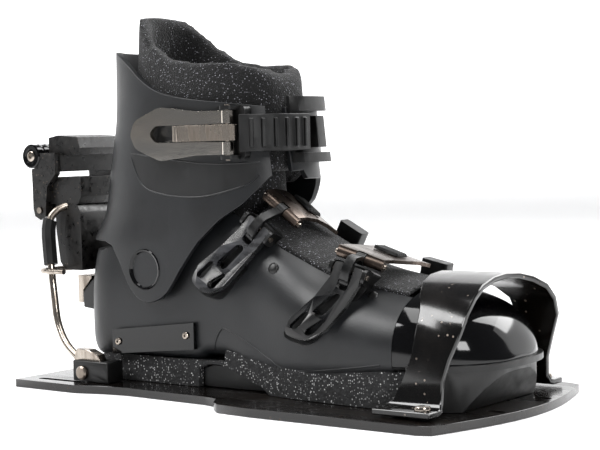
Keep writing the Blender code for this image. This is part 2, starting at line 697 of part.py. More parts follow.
BUCKLES = {
    "mid": dict(pivot=(8.5, -38.0, 103.0), across=(0.816, 0.0, -0.578), along=(-32.5, -15.0, -34.0),
                skew=0.18, rod=(-16.3, -10.0), length=49.0,
                over=[(0, 2.9), (8, 3.2), (18, 1.6), (28, -2.0), (38, -7.0)], catch=(23, 34.6, 92.4, 28)),
    "toe": dict(pivot=(78.5, -45.0, 80.0), across=(0.93, 0.2, -0.31), along=(-28.9, -17.0, -35.5),
                skew=0.5, rod=(-9.5, -11.5), length=44.0,
                over=[(0, 2.9), (9, 2.4), (22, 1.0), (36, -0.4), (47, -2.5)], catch=(86, 34, 72, 12)),
}
LINK_ARM = 6.0               # lever pivot to link pin: how far the lever pulls the strap


def build_buckle(label, spec, shell_skin, tongue_skin):
    """One side buckle: base, pivot pin, lever, link with its knuckle, and the strap over the instep."""
    frame = local_frame(spec["pivot"], spec["across"], spec["along"])
    skew, end = spec["skew"], spec["length"]
    rod_y, rod_z = spec["rod"]

    # base: a foot under the lever with two cheeks for the pin
    foot = rounded_outline([(-11.4, -5.0, 2), (11.4, -5.0, 2), (11.4, 6, 0), (12.4, end * 0.5, 6),
                            (10.5, end + 4, 8), (-8.5, end + 4, 8), (-10.5, end * 0.45, 6), (-11.4, 6, 0)], 3)
    window = rounded_outline([(-5, end * 0.62, 3), (6, end * 0.62, 3), (5.5, end - 3, 3),
                              (-4, end - 3, 3)], 3)
    base = flat_plate(label + "_base", [skewed(foot, skew), skewed(window, skew)], 17.0,
                      frame @ Matrix.Translation((0, 0, -0.0138)), CAST_BLACK)
    for side in (-1, 1):
        cheek = flat_plate("cutter_%s_cheek_%d" % (label, side + 1),
                           [rounded_outline([(-4.4, -8, 0), (4.4, -8, 0), (4.4, 3.6, 3.4),
                                             (-4.4, 3.6, 3.4)], 4)], 2.0,
                           frame @ Matrix(((0, 0, 1, side * 10.4 * MM), (1, 0, 0, 0), (0, 1, 0, 0),
                                           (0, 0, 0, 1))), CAST_BLACK, CUTTERS)
        cut(base, cheek, "UNION")
    cut(base, shell_skin)
    cut(base, tongue_skin)
    cut(base, pin_along_x("cutter_%s_bore" % label, frame, 0, 0, -14, 14, 1.8, STEEL, CUTTERS))
    pin = pin_along_x(label + "_pin", frame, 0, 0, -12.3, 12.3, 1.5, STEEL)

    # lever: skeleton plate with a fork at the pin, a centre slot and two finger holes
    blade = rounded_outline([(-8.8, -3.6, 2), (-3.4, -3.6, 0.5), (-3.4, 11.0, 2), (3.4, 11.0, 2),
                             (3.4, -3.6, 0.5), (8.8, -3.6, 2), (8.8, 6, 0), (9.6, end * 0.45, 8),
                             (11.2, end * 0.8, 8), (7.0, end + 1.5, 7), (-7.0, end + 1.5, 7),
                             (-11.2, end * 0.8, 8), (-9.6, end * 0.45, 8), (-8.8, 6, 0)], 3)
    holes = [slot_outline(0, 16.5, 0, end * 0.60, 3.0, 3.6),
             slot_outline(-5.8, end * 0.70, -5.0, end * 0.88, 1.4, 2.9),
             slot_outline(5.6, end * 0.70, 5.0, end * 0.88, 1.8, 2.6)]
    lever = flat_plate(label + "_lever", [skewed(ring, skew) for ring in [blade] + holes], 4.6,
                       frame, BRONZE if label == "mid" else GLOSS_BLACK)
    cut(lever, pin_along_x("cutter_%s_lever_bore" % label, frame, 0, 0, -14, 14, 1.8, STEEL, CUTTERS))
    cut(lever, pin_along_x("cutter_%s_link_bore" % label, frame, LINK_ARM, 0, -6.6, 6.6, 1.5, STEEL,
                           CUTTERS))

    # link: arched arm from the lever to the knuckle on the rod
    route = [(LINK_ARM, 0.0), (4.6, 3.0), (1.0, 4.6), (-3.4, 4.4), (-7.6, 2.4),
             ((rod_y - 9.6) / 2, rod_z / 2 + 0.8), (rod_y, rod_z)]
    link = bar(label + "_link", frame, route, 2.7, 2.4, CAST_BLACK)
    for place, (y, z), radius in (("pin", (LINK_ARM, 0.0), 2.5), ("rod", (rod_y, rod_z), 3.5)):
        cut(link, pin_along_x("cutter_%s_eye_%s" % (label, place), frame, y, z, -2.75, 2.75, radius,
                              STEEL, CUTTERS), "UNION")
    cut(link, pin_along_x("cutter_%s_link_pin" % label, frame, LINK_ARM, 0, -6.4, 6.4, 1.2, STEEL,
                          CUTTERS), "UNION")
    cut(link, pin_along_x("cutter_%s_hole_rod" % label, frame, rod_y, rod_z, -6, 6, 1.8, STEEL,
                          CUTTERS))
    rod = pin_along_x(label + "_rod", frame, rod_y, rod_z, -16.0, 16.0, 1.5, STEEL)

    # strap: plate over the instep whose rolled edge turns on the rod
    centre = at(frame, 0, rod_y, rod_z)
    width = (frame.to_3x3() @ Vector((1, 0, 0))).normalized()
    rings = []
    stations = [Vector((0, dy, dz)) for dy, dz in spec["over"]]
    for i, offset in enumerate(stations):
        along = (stations[min(i + 1, len(stations) - 1)] - stations[max(i - 1, 0)]).normalized()
        normal = along.cross(width).normalized() * (1.1 if along.cross(width).z > 0 else -1.1)
        half = 14.5 + 1.0 * i / (len(stations) - 1)
        middle = centre + offset
        rings.append([middle - width * half - normal, middle + width * half - normal,
                      middle + width * half + normal, middle - width * half + normal])
    strap = loft(label + "_strap", rings, BRONZE)
    cut(strap, pin_along_x("cutter_%s_barrel" % label, frame, rod_y, rod_z, -14.4, 14.4, 3.1, BRONZE,
                           CUTTERS), "UNION")
    cut(strap, pin_along_x("cutter_%s_notch" % label, frame, rod_y, rod_z, -3.2, 3.2, 4.4, BRONZE,
                           CUTTERS))
    cut(strap, pin_along_x("cutter_%s_strap_bore" % label, frame, rod_y, rod_z, -18, 18, 1.8, BRONZE,
                           CUTTERS))

    # ladder block riding on the far half of the strap plate
    mid = centre + (stations[-2] + stations[-3]) / 2
    along = (stations[-2] - stations[-3]).normalized()
    normal = along.cross(width).normalized()
    if normal.z < 0:
        normal = -normal
    across = along.cross(normal).normalized()
    block_frame = Matrix.Translation(mid * MM) @ Matrix((across, along, normal)).transposed().to_4x4()
    teeth = [(-5.5, 1.4)]
    for i in range(5):
        teeth += [(-5.2 + 2.2 * i, 3.8), (-3.4 + 2.2 * i, 2.6)]
    teeth += [(5.8, 1.4)]
    block = bar_profile(label + "_ladder_block", block_frame, teeth, 8.5, CAST_BLACK)

    # catch on the far side of the instep
    x, y, z, slope = spec["catch"]
    turn = Matrix.Translation((x * MM, y * MM, z * MM)) @ Matrix.Rotation(math.radians(slope), 4, "Y")
    catch = flat_plate(label + "_catch", [rounded_outline([(-9, -4.4, 1.5), (9, -4.4, 1.5),
                                                           (9, 4.4, 1.5), (-9, 4.4, 1.5)], 3)], 18.0,
                       turn, CAST_BLACK)
    cut(catch, shell_skin)
    cut(catch, tongue_skin)
    pivot = tuple(spec["pivot"])
    turn_about(pivot, [lever])
    turn_about(tuple(at(frame, 0, LINK_ARM, 0)), [link, rod])
    turn_about(tuple(centre), [strap, block])
    print("JOINT", label, "lever", [round(c, 3) for c in pivot], "link",
          [round(c, 3) for c in at(frame, 0, LINK_ARM, 0)], "rod", [round(c, 3) for c in centre],
          "axis", [round(c, 5) for c in width])
    return base, pin, lever, link, strap, block, catch


def bar_profile(name, frame, profile, half_x, material, collection=None):
    """A prism along X of a local frame, from its (y, z) profile."""
    rings = [[at(frame, x, y, z) for y, z in profile] for x in (-half_x, half_x)]
    return loft(name, rings, material, collection)


def build_cuff_buckle(cuff_skin):
    """Power buckle on the cuff: chrome lever, link, ladder strap round the front, and end frame."""
    frame = local_frame((-8.0, -43.5, 160.0), (0, 0, 1), (-70.0, -6.5, 0))
    outline = rounded_outline([(-13, -3.2, 2), (-5.6, -3.2, 0.5), (-5.2, 20, 3), (-5.2, 52, 5.2),
                               (0, 57.5, 4), (5.2, 52, 5.2), (5.2, 20, 3), (5.6, -3.2, 0.5),
                               (13, -3.2, 2), (13.2, 22, 9), (16.4, 49, 12), (8.5, 68, 8),
                               (0, 71.5, 6), (-8.5, 68, 8), (-16.4, 49, 12), (-13.2, 22, 9)], 4)
    lever = flat_plate("cuff_lever", [outline], 3.4, frame, CHROME)
    for side in (-1, 1):
        cut(lever, pin_along_x("cutter_cuff_knuckle_%d" % (side + 1), frame, 0, 0, side * 5.7,
                               side * 13.0, 3.7, CHROME, CUTTERS), "UNION")
    cut(lever, pin_along_x("cutter_cuff_lever_bore", frame, 0, 0, -20, 20, 1.8, STEEL, CUTTERS))

    base = flat_plate("cuff_buckle_base", [rounded_outline([(-16, -9, 3), (16, -9, 3), (16, 30, 6),
                                                            (-16, 30, 6)], 4)], 12.0,
                      frame @ Matrix.Translation((0, 0, -0.0108)), CAST_BLACK)
    for side in (-1, 1):
        lug = flat_plate("cutter_cuff_lug_%d" % (side + 1),
                         [rounded_outline([(-6, -9, 0), (6, -9, 0), (4.2, 3.8, 3.6), (-4.2, 3.8, 3.6)],
                                          4)], 2.4,
                         frame @ Matrix(((0, 0, 1, side * 14.7 * MM), (1, 0, 0, 0), (0, 1, 0, 0),
                                         (0, 0, 0, 1))), CAST_BLACK, CUTTERS)
        cut(base, lug, "UNION")
    cut(base, cuff_skin)
    cut(base, pin_along_x("cutter_cuff_base_bore", frame, 0, 0, -20, 20, 1.8, STEEL, CUTTERS))
    pin = pin_along_x("cuff_lever_pin", frame, 0, 0, -16.6, 16.6, 1.5, STEEL)

    link = bar("cuff_link", frame, [(38.5, 1.2), (33, 2.6), (20, 3.6), (4, 3.8), (-8, 3.4)], 4.7, 2.6,
               STEEL)
    cut(link, pin_along_x("cutter_cuff_link_eye", frame, 36, 0.6, -4.7, 4.7, 3.2, STEEL, CUTTERS),
        "UNION")

    start = at(frame, 0, -10.2, 3.2)
    plan = smooth_route([(start.x, start.y, 0), (8, -41.5, 0), (14.5, -33, 0), (18.2, -22, 0),
                         (19.2, -10, 0), (19.2, 0, 0)], 3)
    rings = []
    for i, here in enumerate(plan):
        along = (plan[min(i + 1, len(plan) - 1)] - plan[max(i - 1, 0)]).normalized()
        out = Vector((along.y, -along.x, 0)) * 1.5
        rings.append([(here - out) + Vector((0, 0, 148.5)), (here + out) + Vector((0, 0, 148.5)),
                      (here + out) + Vector((0, 0, 170.5)), (here - out) + Vector((0, 0, 170.5))])
    ladder = loft("cuff_ladder", rings, CAST_BLACK)
    teeth = []
    for i in range(3, len(plan) - 2, 2):
        here = plan[i]
        along = (plan[i + 1] - plan[i - 1]).normalized()
        out = Vector((along.y, -along.x, 0))
        centre = here + out * 2.0
        tooth = box("cutter_ladder_tooth_%d" % i, (-1.1, -1.3, 151), (1.1, 1.3, 168), CAST_BLACK, CUTTERS)
        tooth.matrix_world = Matrix.Translation(centre * MM) @ Matrix.Rotation(
            math.atan2(along.y, along.x), 4, "Z")
        teeth.append(tooth)
        cut(ladder, tooth, "UNION")

    def shelf(name, y_low, y_high, z_low, z_high, inner, outer, collection):
        shelf_rings = []
        for step in range(7):
            y = y_low + (y_high - y_low) * step / 6
            corners = []
            for inset, z in ((inner, z_low), (outer, z_low), (outer, z_high), (inner, z_high)):
                back, front, side = (smooth_value(t, z) for t in CUFF_TABLES)
                centre, reach = (front + back) / 2, (front - back) / 2 + inset
                x = centre + reach * (1 - (abs(y) / (side + inset)) ** 2.5) ** (1 / 2.5)
                corners.append((x, y, z))
            shelf_rings.append(corners)
        return loft(name, shelf_rings, CAST_BLACK, collection)

    frame_piece = shelf("ladder_frame", -10.5, 20, 141, 181, 0.3, 2.5, None)
    cut(frame_piece, shelf("cutter_frame_top", -10.4, 19.9, 172, 180.9, 0.5, 8.6, CUTTERS), "UNION")
    cut(frame_piece, shelf("cutter_frame_foot", -10.4, 19.9, 141.1, 147, 0.5, 8.6, CUTTERS), "UNION")
    keeper = shelf("cutter_keeper", 5, 15, 150, 169, 0.5, 8.4, CUTTERS)
    cut(frame_piece, keeper, "UNION")
    turn_about((-8.0, -43.5, 160.0), [lever])
    link_at = tuple(at(frame, 0, 36, 0.6))
    turn_about(link_at, [link, ladder])
    print("JOINT cuff lever", (-8.0, -43.5, 160.0), "link", [round(c, 3) for c in link_at])
    return lever, base, pin, link, ladder, frame_piece


# ---- heel release ----
LEG = [(-135, FOOT_Y, 20.5), (-146, 46, 28), (-156, 42.5, 40), (-161.5, 39.5, 55), (-166, 37, 72),
       (-169.5, 35, 88), (-171, 33.8, 100), (-170, 31.5, 108.5), (-166.5, 26.5, 113.6),
       (-162.5, 18.5, 115.6), (CROSSBAR_X, 8, CROSSBAR_Z), (CROSSBAR_X, 0, CROSSBAR_Z)]


def bail_route():
    near = [(-127.5, -FOOT_Y, 15.2)] + [(x, -y, z) for x, y, z in LEG]
    far = [(x, y, z) for x, y, z in reversed(LEG[:-1])] + [(-127.5, FOOT_Y, 15.2)]
    return smooth_route(near + far, 2)


def build_release():
    """Sprung heel release: bail on two clevises, carrying the housing, jaw, spring and lever."""
    route = bail_route()
    bail = tube("bail", route, WIRE_RADIUS, STEEL, resolution=2)
    swing = [bail]
    clevises, fixed = [], []
    longer = ([route[0] + (route[0] - route[1]).normalized()] + route[1:-1]
              + [route[-1] + (route[-1] - route[-2]).normalized()])
    bore = tube("cutter_sleeve_bore", longer, WIRE_RADIUS + GAP + 0.1, STEEL, CUTTERS, 3)
    for side in (NEAR, FAR):
        label = "near" if side < 0 else "far"

        def y(value):
            return side * value

        low, high = sorted((y(40.5), y(55.5)))
        clevis = box("clevis_" + label, (-131, low, 5.3), (-101, high, 18.5), CAST_BLACK, None, 0.8)
        low, high = sorted((y(44.2), y(51.8)))
        cut(clevis, box("cutter_clevis_slot_" + label, (-140, low, 0), (-107.5, high, 30), CAST_BLACK,
                        CUTTERS))
        hole = cylinder("cutter_clevis_bore_" + label, (BAIL_PIVOT_X, y(30), BAIL_PIVOT_Z),
                        (BAIL_PIVOT_X, y(70), BAIL_PIVOT_Z), 2.4, STEEL, CUTTERS, 20)
        cut(clevis, hole)
        clevises.append(clevis)
        fixed.append(turned("clevis_screw_" + label,
                            [(0, 17.6), (3.4, 17.6), (4.4, 16.8), (4.4, 15.3), (2.1, 15.3), (2.1, 0),
                             (0, 0)],
                            (BAIL_PIVOT_X, y(40.5), BAIL_PIVOT_Z), (0, side, 0), STEEL, 20))
        cheek = [(-117, 6.4), (-111.5, 9.5), (-109.8, 15), (-113, 22), (-121, 25), (-131, 25.5),
                 (-134, 19), (-129, 10), (-125.4, 6.6)]
        low, high = sorted((y(44.6), y(51.4)))
        clamp = side_prism("bail_clamp_" + label, cheek, low, high, STEEL, PARTS)
        cut(clamp, bore)
        cut(clamp, hole)
        bevel(clamp, 0.8, 1, 40)
        swing.append(clamp)
        inside = [i for i, p in enumerate(route) if p.y * side > 31.8 and p.z > 74]
        first, last = inside[0], inside[-1]
        leg = ([route[first - 1].lerp(route[first], 0.6)] + route[first:last + 1]
               + [route[last].lerp(route[last + 1], 0.4)])
        sleeve = tube("leg_sleeve_" + label, leg, SLEEVE_RADIUS, RUBBER)
        cut(sleeve, bore)
        swing.append(sleeve)
    tie_half = [(-150, 41.8, 73), (-160, 41.8, 73), (-167.6, 41.4, 73), (-172.2, 38, 73),
                (-172.6, 30, 73), (-172.6, 0, 73)]
    tie = tube("bail_tie", smooth_route([(x, -yy, z) for x, yy, z in tie_half]
                                        + list(reversed(tie_half[:-1])), 3), 1.8, STEEL)
    swing.append(tie)

    tunnel = tube("cutter_tunnel", route, WIRE_RADIUS + GAP, STEEL, CUTTERS)
    housing = side_prism("release_housing", [(-171, 78), (-167, 72.6), (-151, 72.6), (-151, 110),
                                             (-154, CROSSBAR_Z - 0.15), (-174, CROSSBAR_Z - 0.15),
                                             (-174, 100)], -24, 24, CAST_BLACK, PARTS)
    cut(housing, tunnel)
    cut(housing, cylinder("cutter_spring_bore", (STEM_X, 0, 60), (STEM_X, 0, 103), 6.6, STEEL, CUTTERS,
                          28))
    bevel(housing, 1.5, 1, 60)
    saddle = side_prism("release_saddle", [(-178, CROSSBAR_Z + 0.15), (-153, CROSSBAR_Z + 0.15),
                                           (-150, 121), (-150, 134), (-172, 134), (-178, 128)],
                        -24, 24, CAST_BLACK, PARTS)
    cut(saddle, side_prism("cutter_saddle_ears", [(-170, 125), (-170, 131), (-176, 131), (-189, 117),
                                                  (-189, 107), (-184, 104.5), (-177, 107),
                                                  (-177, 125)], -24.2, 24.2), "UNION")
    cut(saddle, box("cutter_ear_gap", (-200, -19.6, 90), (-178.3, 19.6, 140), CAST_BLACK, CUTTERS))
    cut(saddle, tunnel)
    pivot_bore = cylinder("cutter_lever_bore", (LEVER_PIVOT_X, -40, LEVER_PIVOT_Z),
                          (LEVER_PIVOT_X, 40, LEVER_PIVOT_Z), 2.4, STEEL, CUTTERS, 20)
    cut(saddle, pivot_bore)
    swing += [housing, saddle]
    axle = cylinder("lever_axle", (LEVER_PIVOT_X, -30.5, LEVER_PIVOT_Z),
                    (LEVER_PIVOT_X, 30.5, LEVER_PIVOT_Z), 2.1, STEEL, None, 20)
    swing.append(axle)

    # lever: two arms, a hollow body, the cap over it and the grip roller behind
    arm = [(-183, 105.6), (-188, 108), (-189.4, 113), (-190, 138), (-188, 150), (-168, 150),
           (-168, 136), (-176, 128), (-177.6, 116), (-178, 108)]
    lever = side_prism("release_lever", [(-189, 137.5), (-167, 137.5), (-167, 149.6), (-189, 149.6)],
                       -24.9, 24.9, CAST_BLACK, PARTS)
    for side in (NEAR, FAR):
        low, high = sorted((side * 24.7, side * 29.2))
        cut(lever, side_prism("cutter_lever_arm_%d" % (side + 1), arm, low, high), "UNION")
    cut(lever, pivot_bore)
    cut(lever, cylinder("cutter_roller_seat", (-190, -40, 148), (-190, 40, 148), 8.4, STEEL, CUTTERS, 28))
    cap = side_prism("cutter_lever_cap", [(-180.5, 148), (-153, 148.5), (-152, 153), (-154, 160), (-172, 161.5),
                                   (-180.5, 160)], -22, 22)
    cut(lever, cap, "UNION")
    roller = cylinder("lever_roller", (-190, -30, 148), (-190, 30, 148), 8.0, GLOSS_BLACK, None, 28)
    bevel(roller, 1.0, 2, 40)
    pull = [lever, roller]

    # jaw that hooks over the heel ledge, with its stem and spring
    jaw = side_prism("jaw", [(-166, 50), (-161.6, 50), (-161.6, 58.4), (-153.6, 66.6), (-153.6, 68.2),
                             (-166, 68.2)], -13, 13, STEEL, PARTS)
    stem = cylinder("cutter_jaw_stem", (STEM_X, 0, 66), (STEM_X, 0, 96), 3.0, STEEL, CUTTERS, 20)
    cut(jaw, stem, "UNION")
    turns, coil = 6, []
    for i in range(turns * 10 + 1):
        angle = 2 * math.pi * i / 10
        coil.append((STEM_X + 4.9 * math.cos(angle), 4.9 * math.sin(angle),
                     69.6 + 31.6 * i / (turns * 10)))
    spring = tube("release_spring", coil, 0.9, STEEL)

    ledge = side_prism("heel_ledge", [(-138, 44.5), (-160, 47), (-160, 57), (-149, 68.3), (-138, 72)],
                       -15, 15, GLOSS_BLACK, PARTS)
    turn_about((BAIL_PIVOT_X, 0, BAIL_PIVOT_Z), swing + [spring])
    turn_about((LEVER_PIVOT_X, 0, LEVER_PIVOT_Z), pull)
    turn_about((STEM_X, 0, 68.2), [jaw])
    return clevises, ledge


def build_trim(shell_skin, ledge, cuff):
    """Badge with its screws, and the rivets along the throat."""
    badge = side_prism("badge", [(-110, 22), (-42, 28.5), (-42, 45), (-110, 37.5)], -40.2, -34,
                       GLOSS_BLACK, PARTS)
    cut(badge, shell_skin)
    cut(ledge, shell_skin)
    pieces = [badge]
    for index, (x, z) in enumerate(((-104.5, 30.2), (-48.0, 36.8))):
        pieces.append(turned("badge_screw_%d" % (index + 1), [(0, 1.5), (1.5, 1.4), (2.2, 0.6),
                                                              (2.2, 0.3), (0, 0.3)],
                             (x, -40.2, z), (0, -1, 0), STEEL, 16))
    return pieces


def build():
    build_plate()
    build_hoop()
    build_sole()
    build_shell()
    build_toe_cap()
    build_toe_lug()
    build_liner()
    cuff = build_cuff()
    rivets = build_ankle_rivets()
    shell_skin = foot_loft("cutter_shell_skin", -GAP, CAST_BLACK, collection=CUTTERS)
    rings = []
    for x in (112, 96, 84, 72, 60, 48, 36, 25, 15, 6, -6):
        top = section_arc(x, -1.5, THROAT_HALF_WIDTH - 0.6)
        rings.append(top + [(x, THROAT_HALF_WIDTH - 0.6, 50), (x, -THROAT_HALF_WIDTH + 0.6, 50)])
    tongue_skin = loft("cutter_tongue_skin", rings, CAST_BLACK, CUTTERS)
    cuff_skin = loft("cutter_cuff_skin", [stack_ring(CUFF_TABLES, z, -GAP) for z in
                                          (40, 62, 90, 112, 125, 138, 156, 174, 195, 230)],
                     CAST_BLACK, CUTTERS)
    for label, spec in BUCKLES.items():
        build_buckle(label, spec, shell_skin, tongue_skin)
    cuff_set = build_cuff_buckle(cuff_skin)
    clevises, ledge = build_release()
    build_trim(shell_skin, ledge, cuff)
    collar = bpy.data.objects["liner_collar"]
    turn_about((ANKLE_X, 0, ANKLE_Z), [cuff, collar, cuff_set[1], cuff_set[2], cuff_set[5]])


build()
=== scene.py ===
"""Finished look of a slalom water-ski boot binding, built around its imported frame.

Frame: +X towards the toe, +Y towards the inner side of a right foot, +Z up, metres. Tables and sizes in
the classes are millimetres, and MM turns them into metres where a mesh is made.
"""

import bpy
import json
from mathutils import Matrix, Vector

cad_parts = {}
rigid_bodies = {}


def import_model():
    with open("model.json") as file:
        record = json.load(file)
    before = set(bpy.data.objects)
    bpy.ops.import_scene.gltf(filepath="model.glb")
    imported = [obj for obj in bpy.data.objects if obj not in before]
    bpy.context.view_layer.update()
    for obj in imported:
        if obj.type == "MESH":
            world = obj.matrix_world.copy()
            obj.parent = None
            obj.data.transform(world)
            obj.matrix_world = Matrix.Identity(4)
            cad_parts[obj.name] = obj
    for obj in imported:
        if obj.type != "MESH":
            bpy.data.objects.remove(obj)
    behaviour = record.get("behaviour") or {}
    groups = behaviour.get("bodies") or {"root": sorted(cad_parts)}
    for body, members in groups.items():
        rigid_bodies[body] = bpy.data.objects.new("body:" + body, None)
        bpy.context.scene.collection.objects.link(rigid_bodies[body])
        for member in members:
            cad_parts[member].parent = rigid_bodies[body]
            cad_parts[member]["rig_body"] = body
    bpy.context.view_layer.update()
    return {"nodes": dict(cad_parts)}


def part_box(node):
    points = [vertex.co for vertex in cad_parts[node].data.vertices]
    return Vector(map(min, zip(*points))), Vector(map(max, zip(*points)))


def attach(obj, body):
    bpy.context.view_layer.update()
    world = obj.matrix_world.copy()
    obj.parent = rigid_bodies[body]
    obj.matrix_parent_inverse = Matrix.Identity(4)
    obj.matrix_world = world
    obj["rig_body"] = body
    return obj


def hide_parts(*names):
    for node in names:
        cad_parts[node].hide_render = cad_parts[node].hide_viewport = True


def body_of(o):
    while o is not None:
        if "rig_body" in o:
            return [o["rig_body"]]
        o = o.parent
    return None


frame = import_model()

import json
import logging
import math
from collections.abc import Callable, Sequence
from dataclasses import dataclass, field
from enum import Enum

import bmesh
import bpy
from mathutils import Matrix, Vector
from mathutils.bvhtree import BVHTree

log = logging.getLogger("boot_binding")
MM = 0.001
WELD = 0.004                 # mm: split points of a frame part that are one corner
TUBE_WELD = 0.005            # mm: the same, on the end caps of a wire
FLAT_ANGLE = 0.6             # degrees: faces closer than this are one flat face
SHARP_ANGLE = 38.0           # degrees: edges sharper than this stay crisp
PATCH_RANGE = (0.36, 0.64)   # noise values between which one tint turns into the other
FLECK_REACH = 0.34           # size of a fleck within its cell
HIGHLIGHT_RANGE = (0.52, 0.62)    # how far an edge stands out where its painted highlight starts and where it is full
COAT_ROUGHNESS = 0.06
SHEEN_ROUGHNESS = 0.5
LEAST_ROUGHNESS = 0.03
Table = tuple[tuple[float, float], ...]
Point = tuple[float, float, float]


class Side(Enum):
    """The two sides of the boot, by the sign of Y: the outer side of the foot is near."""

    NEAR = -1
    FAR = 1


# ---- colour and nodes ----
def linear(code: str) -> tuple[float, float, float, float]:
    """Turn an sRGB hex colour into linear RGBA.

    Args:
        code: colour such as "#1a2b3c".
    Returns:
        Linear red, green, blue and an alpha of 1.
    """
    parts = [int(code[i:i + 2], 16) / 255 for i in (1, 3, 5)]
    red, green, blue = (c / 12.92 if c <= 0.04045 else ((c + 0.055) / 1.055) ** 2.4 for c in parts)
    return red, green, blue, 1.0


def add_node(tree: bpy.types.NodeTree, kind: str, settings: dict | None = None,
             links: dict | None = None) -> bpy.types.Node:
    """Add a node with its settings and links.

    Args:
        tree: node tree that gets the node.
        kind: Blender's type name of the node.
        settings: values by input name, input number or property name.
        links: output sockets by the name or number of the input that they feed.
    Returns:
        The new node.
    """
    node = tree.nodes.new(kind)
    for key, value in (settings or {}).items():
        if isinstance(key, int) or (not hasattr(node, key) and key in node.inputs):
            node.inputs[key].default_value = value
        else:
            setattr(node, key, value)
    for key, socket in (links or {}).items():
        tree.links.new(socket, node.inputs[key])
    return node


class Grain(Enum):
    """How the fine relief of a surface is laid."""

    PEBBLE = "pebble"        # moulded or cast skin
    CRUMB = "crumb"          # bonded granules
    KNIT = "knit"            # looped yarn
    DRAWN = "drawn"          # fine lines along the metal


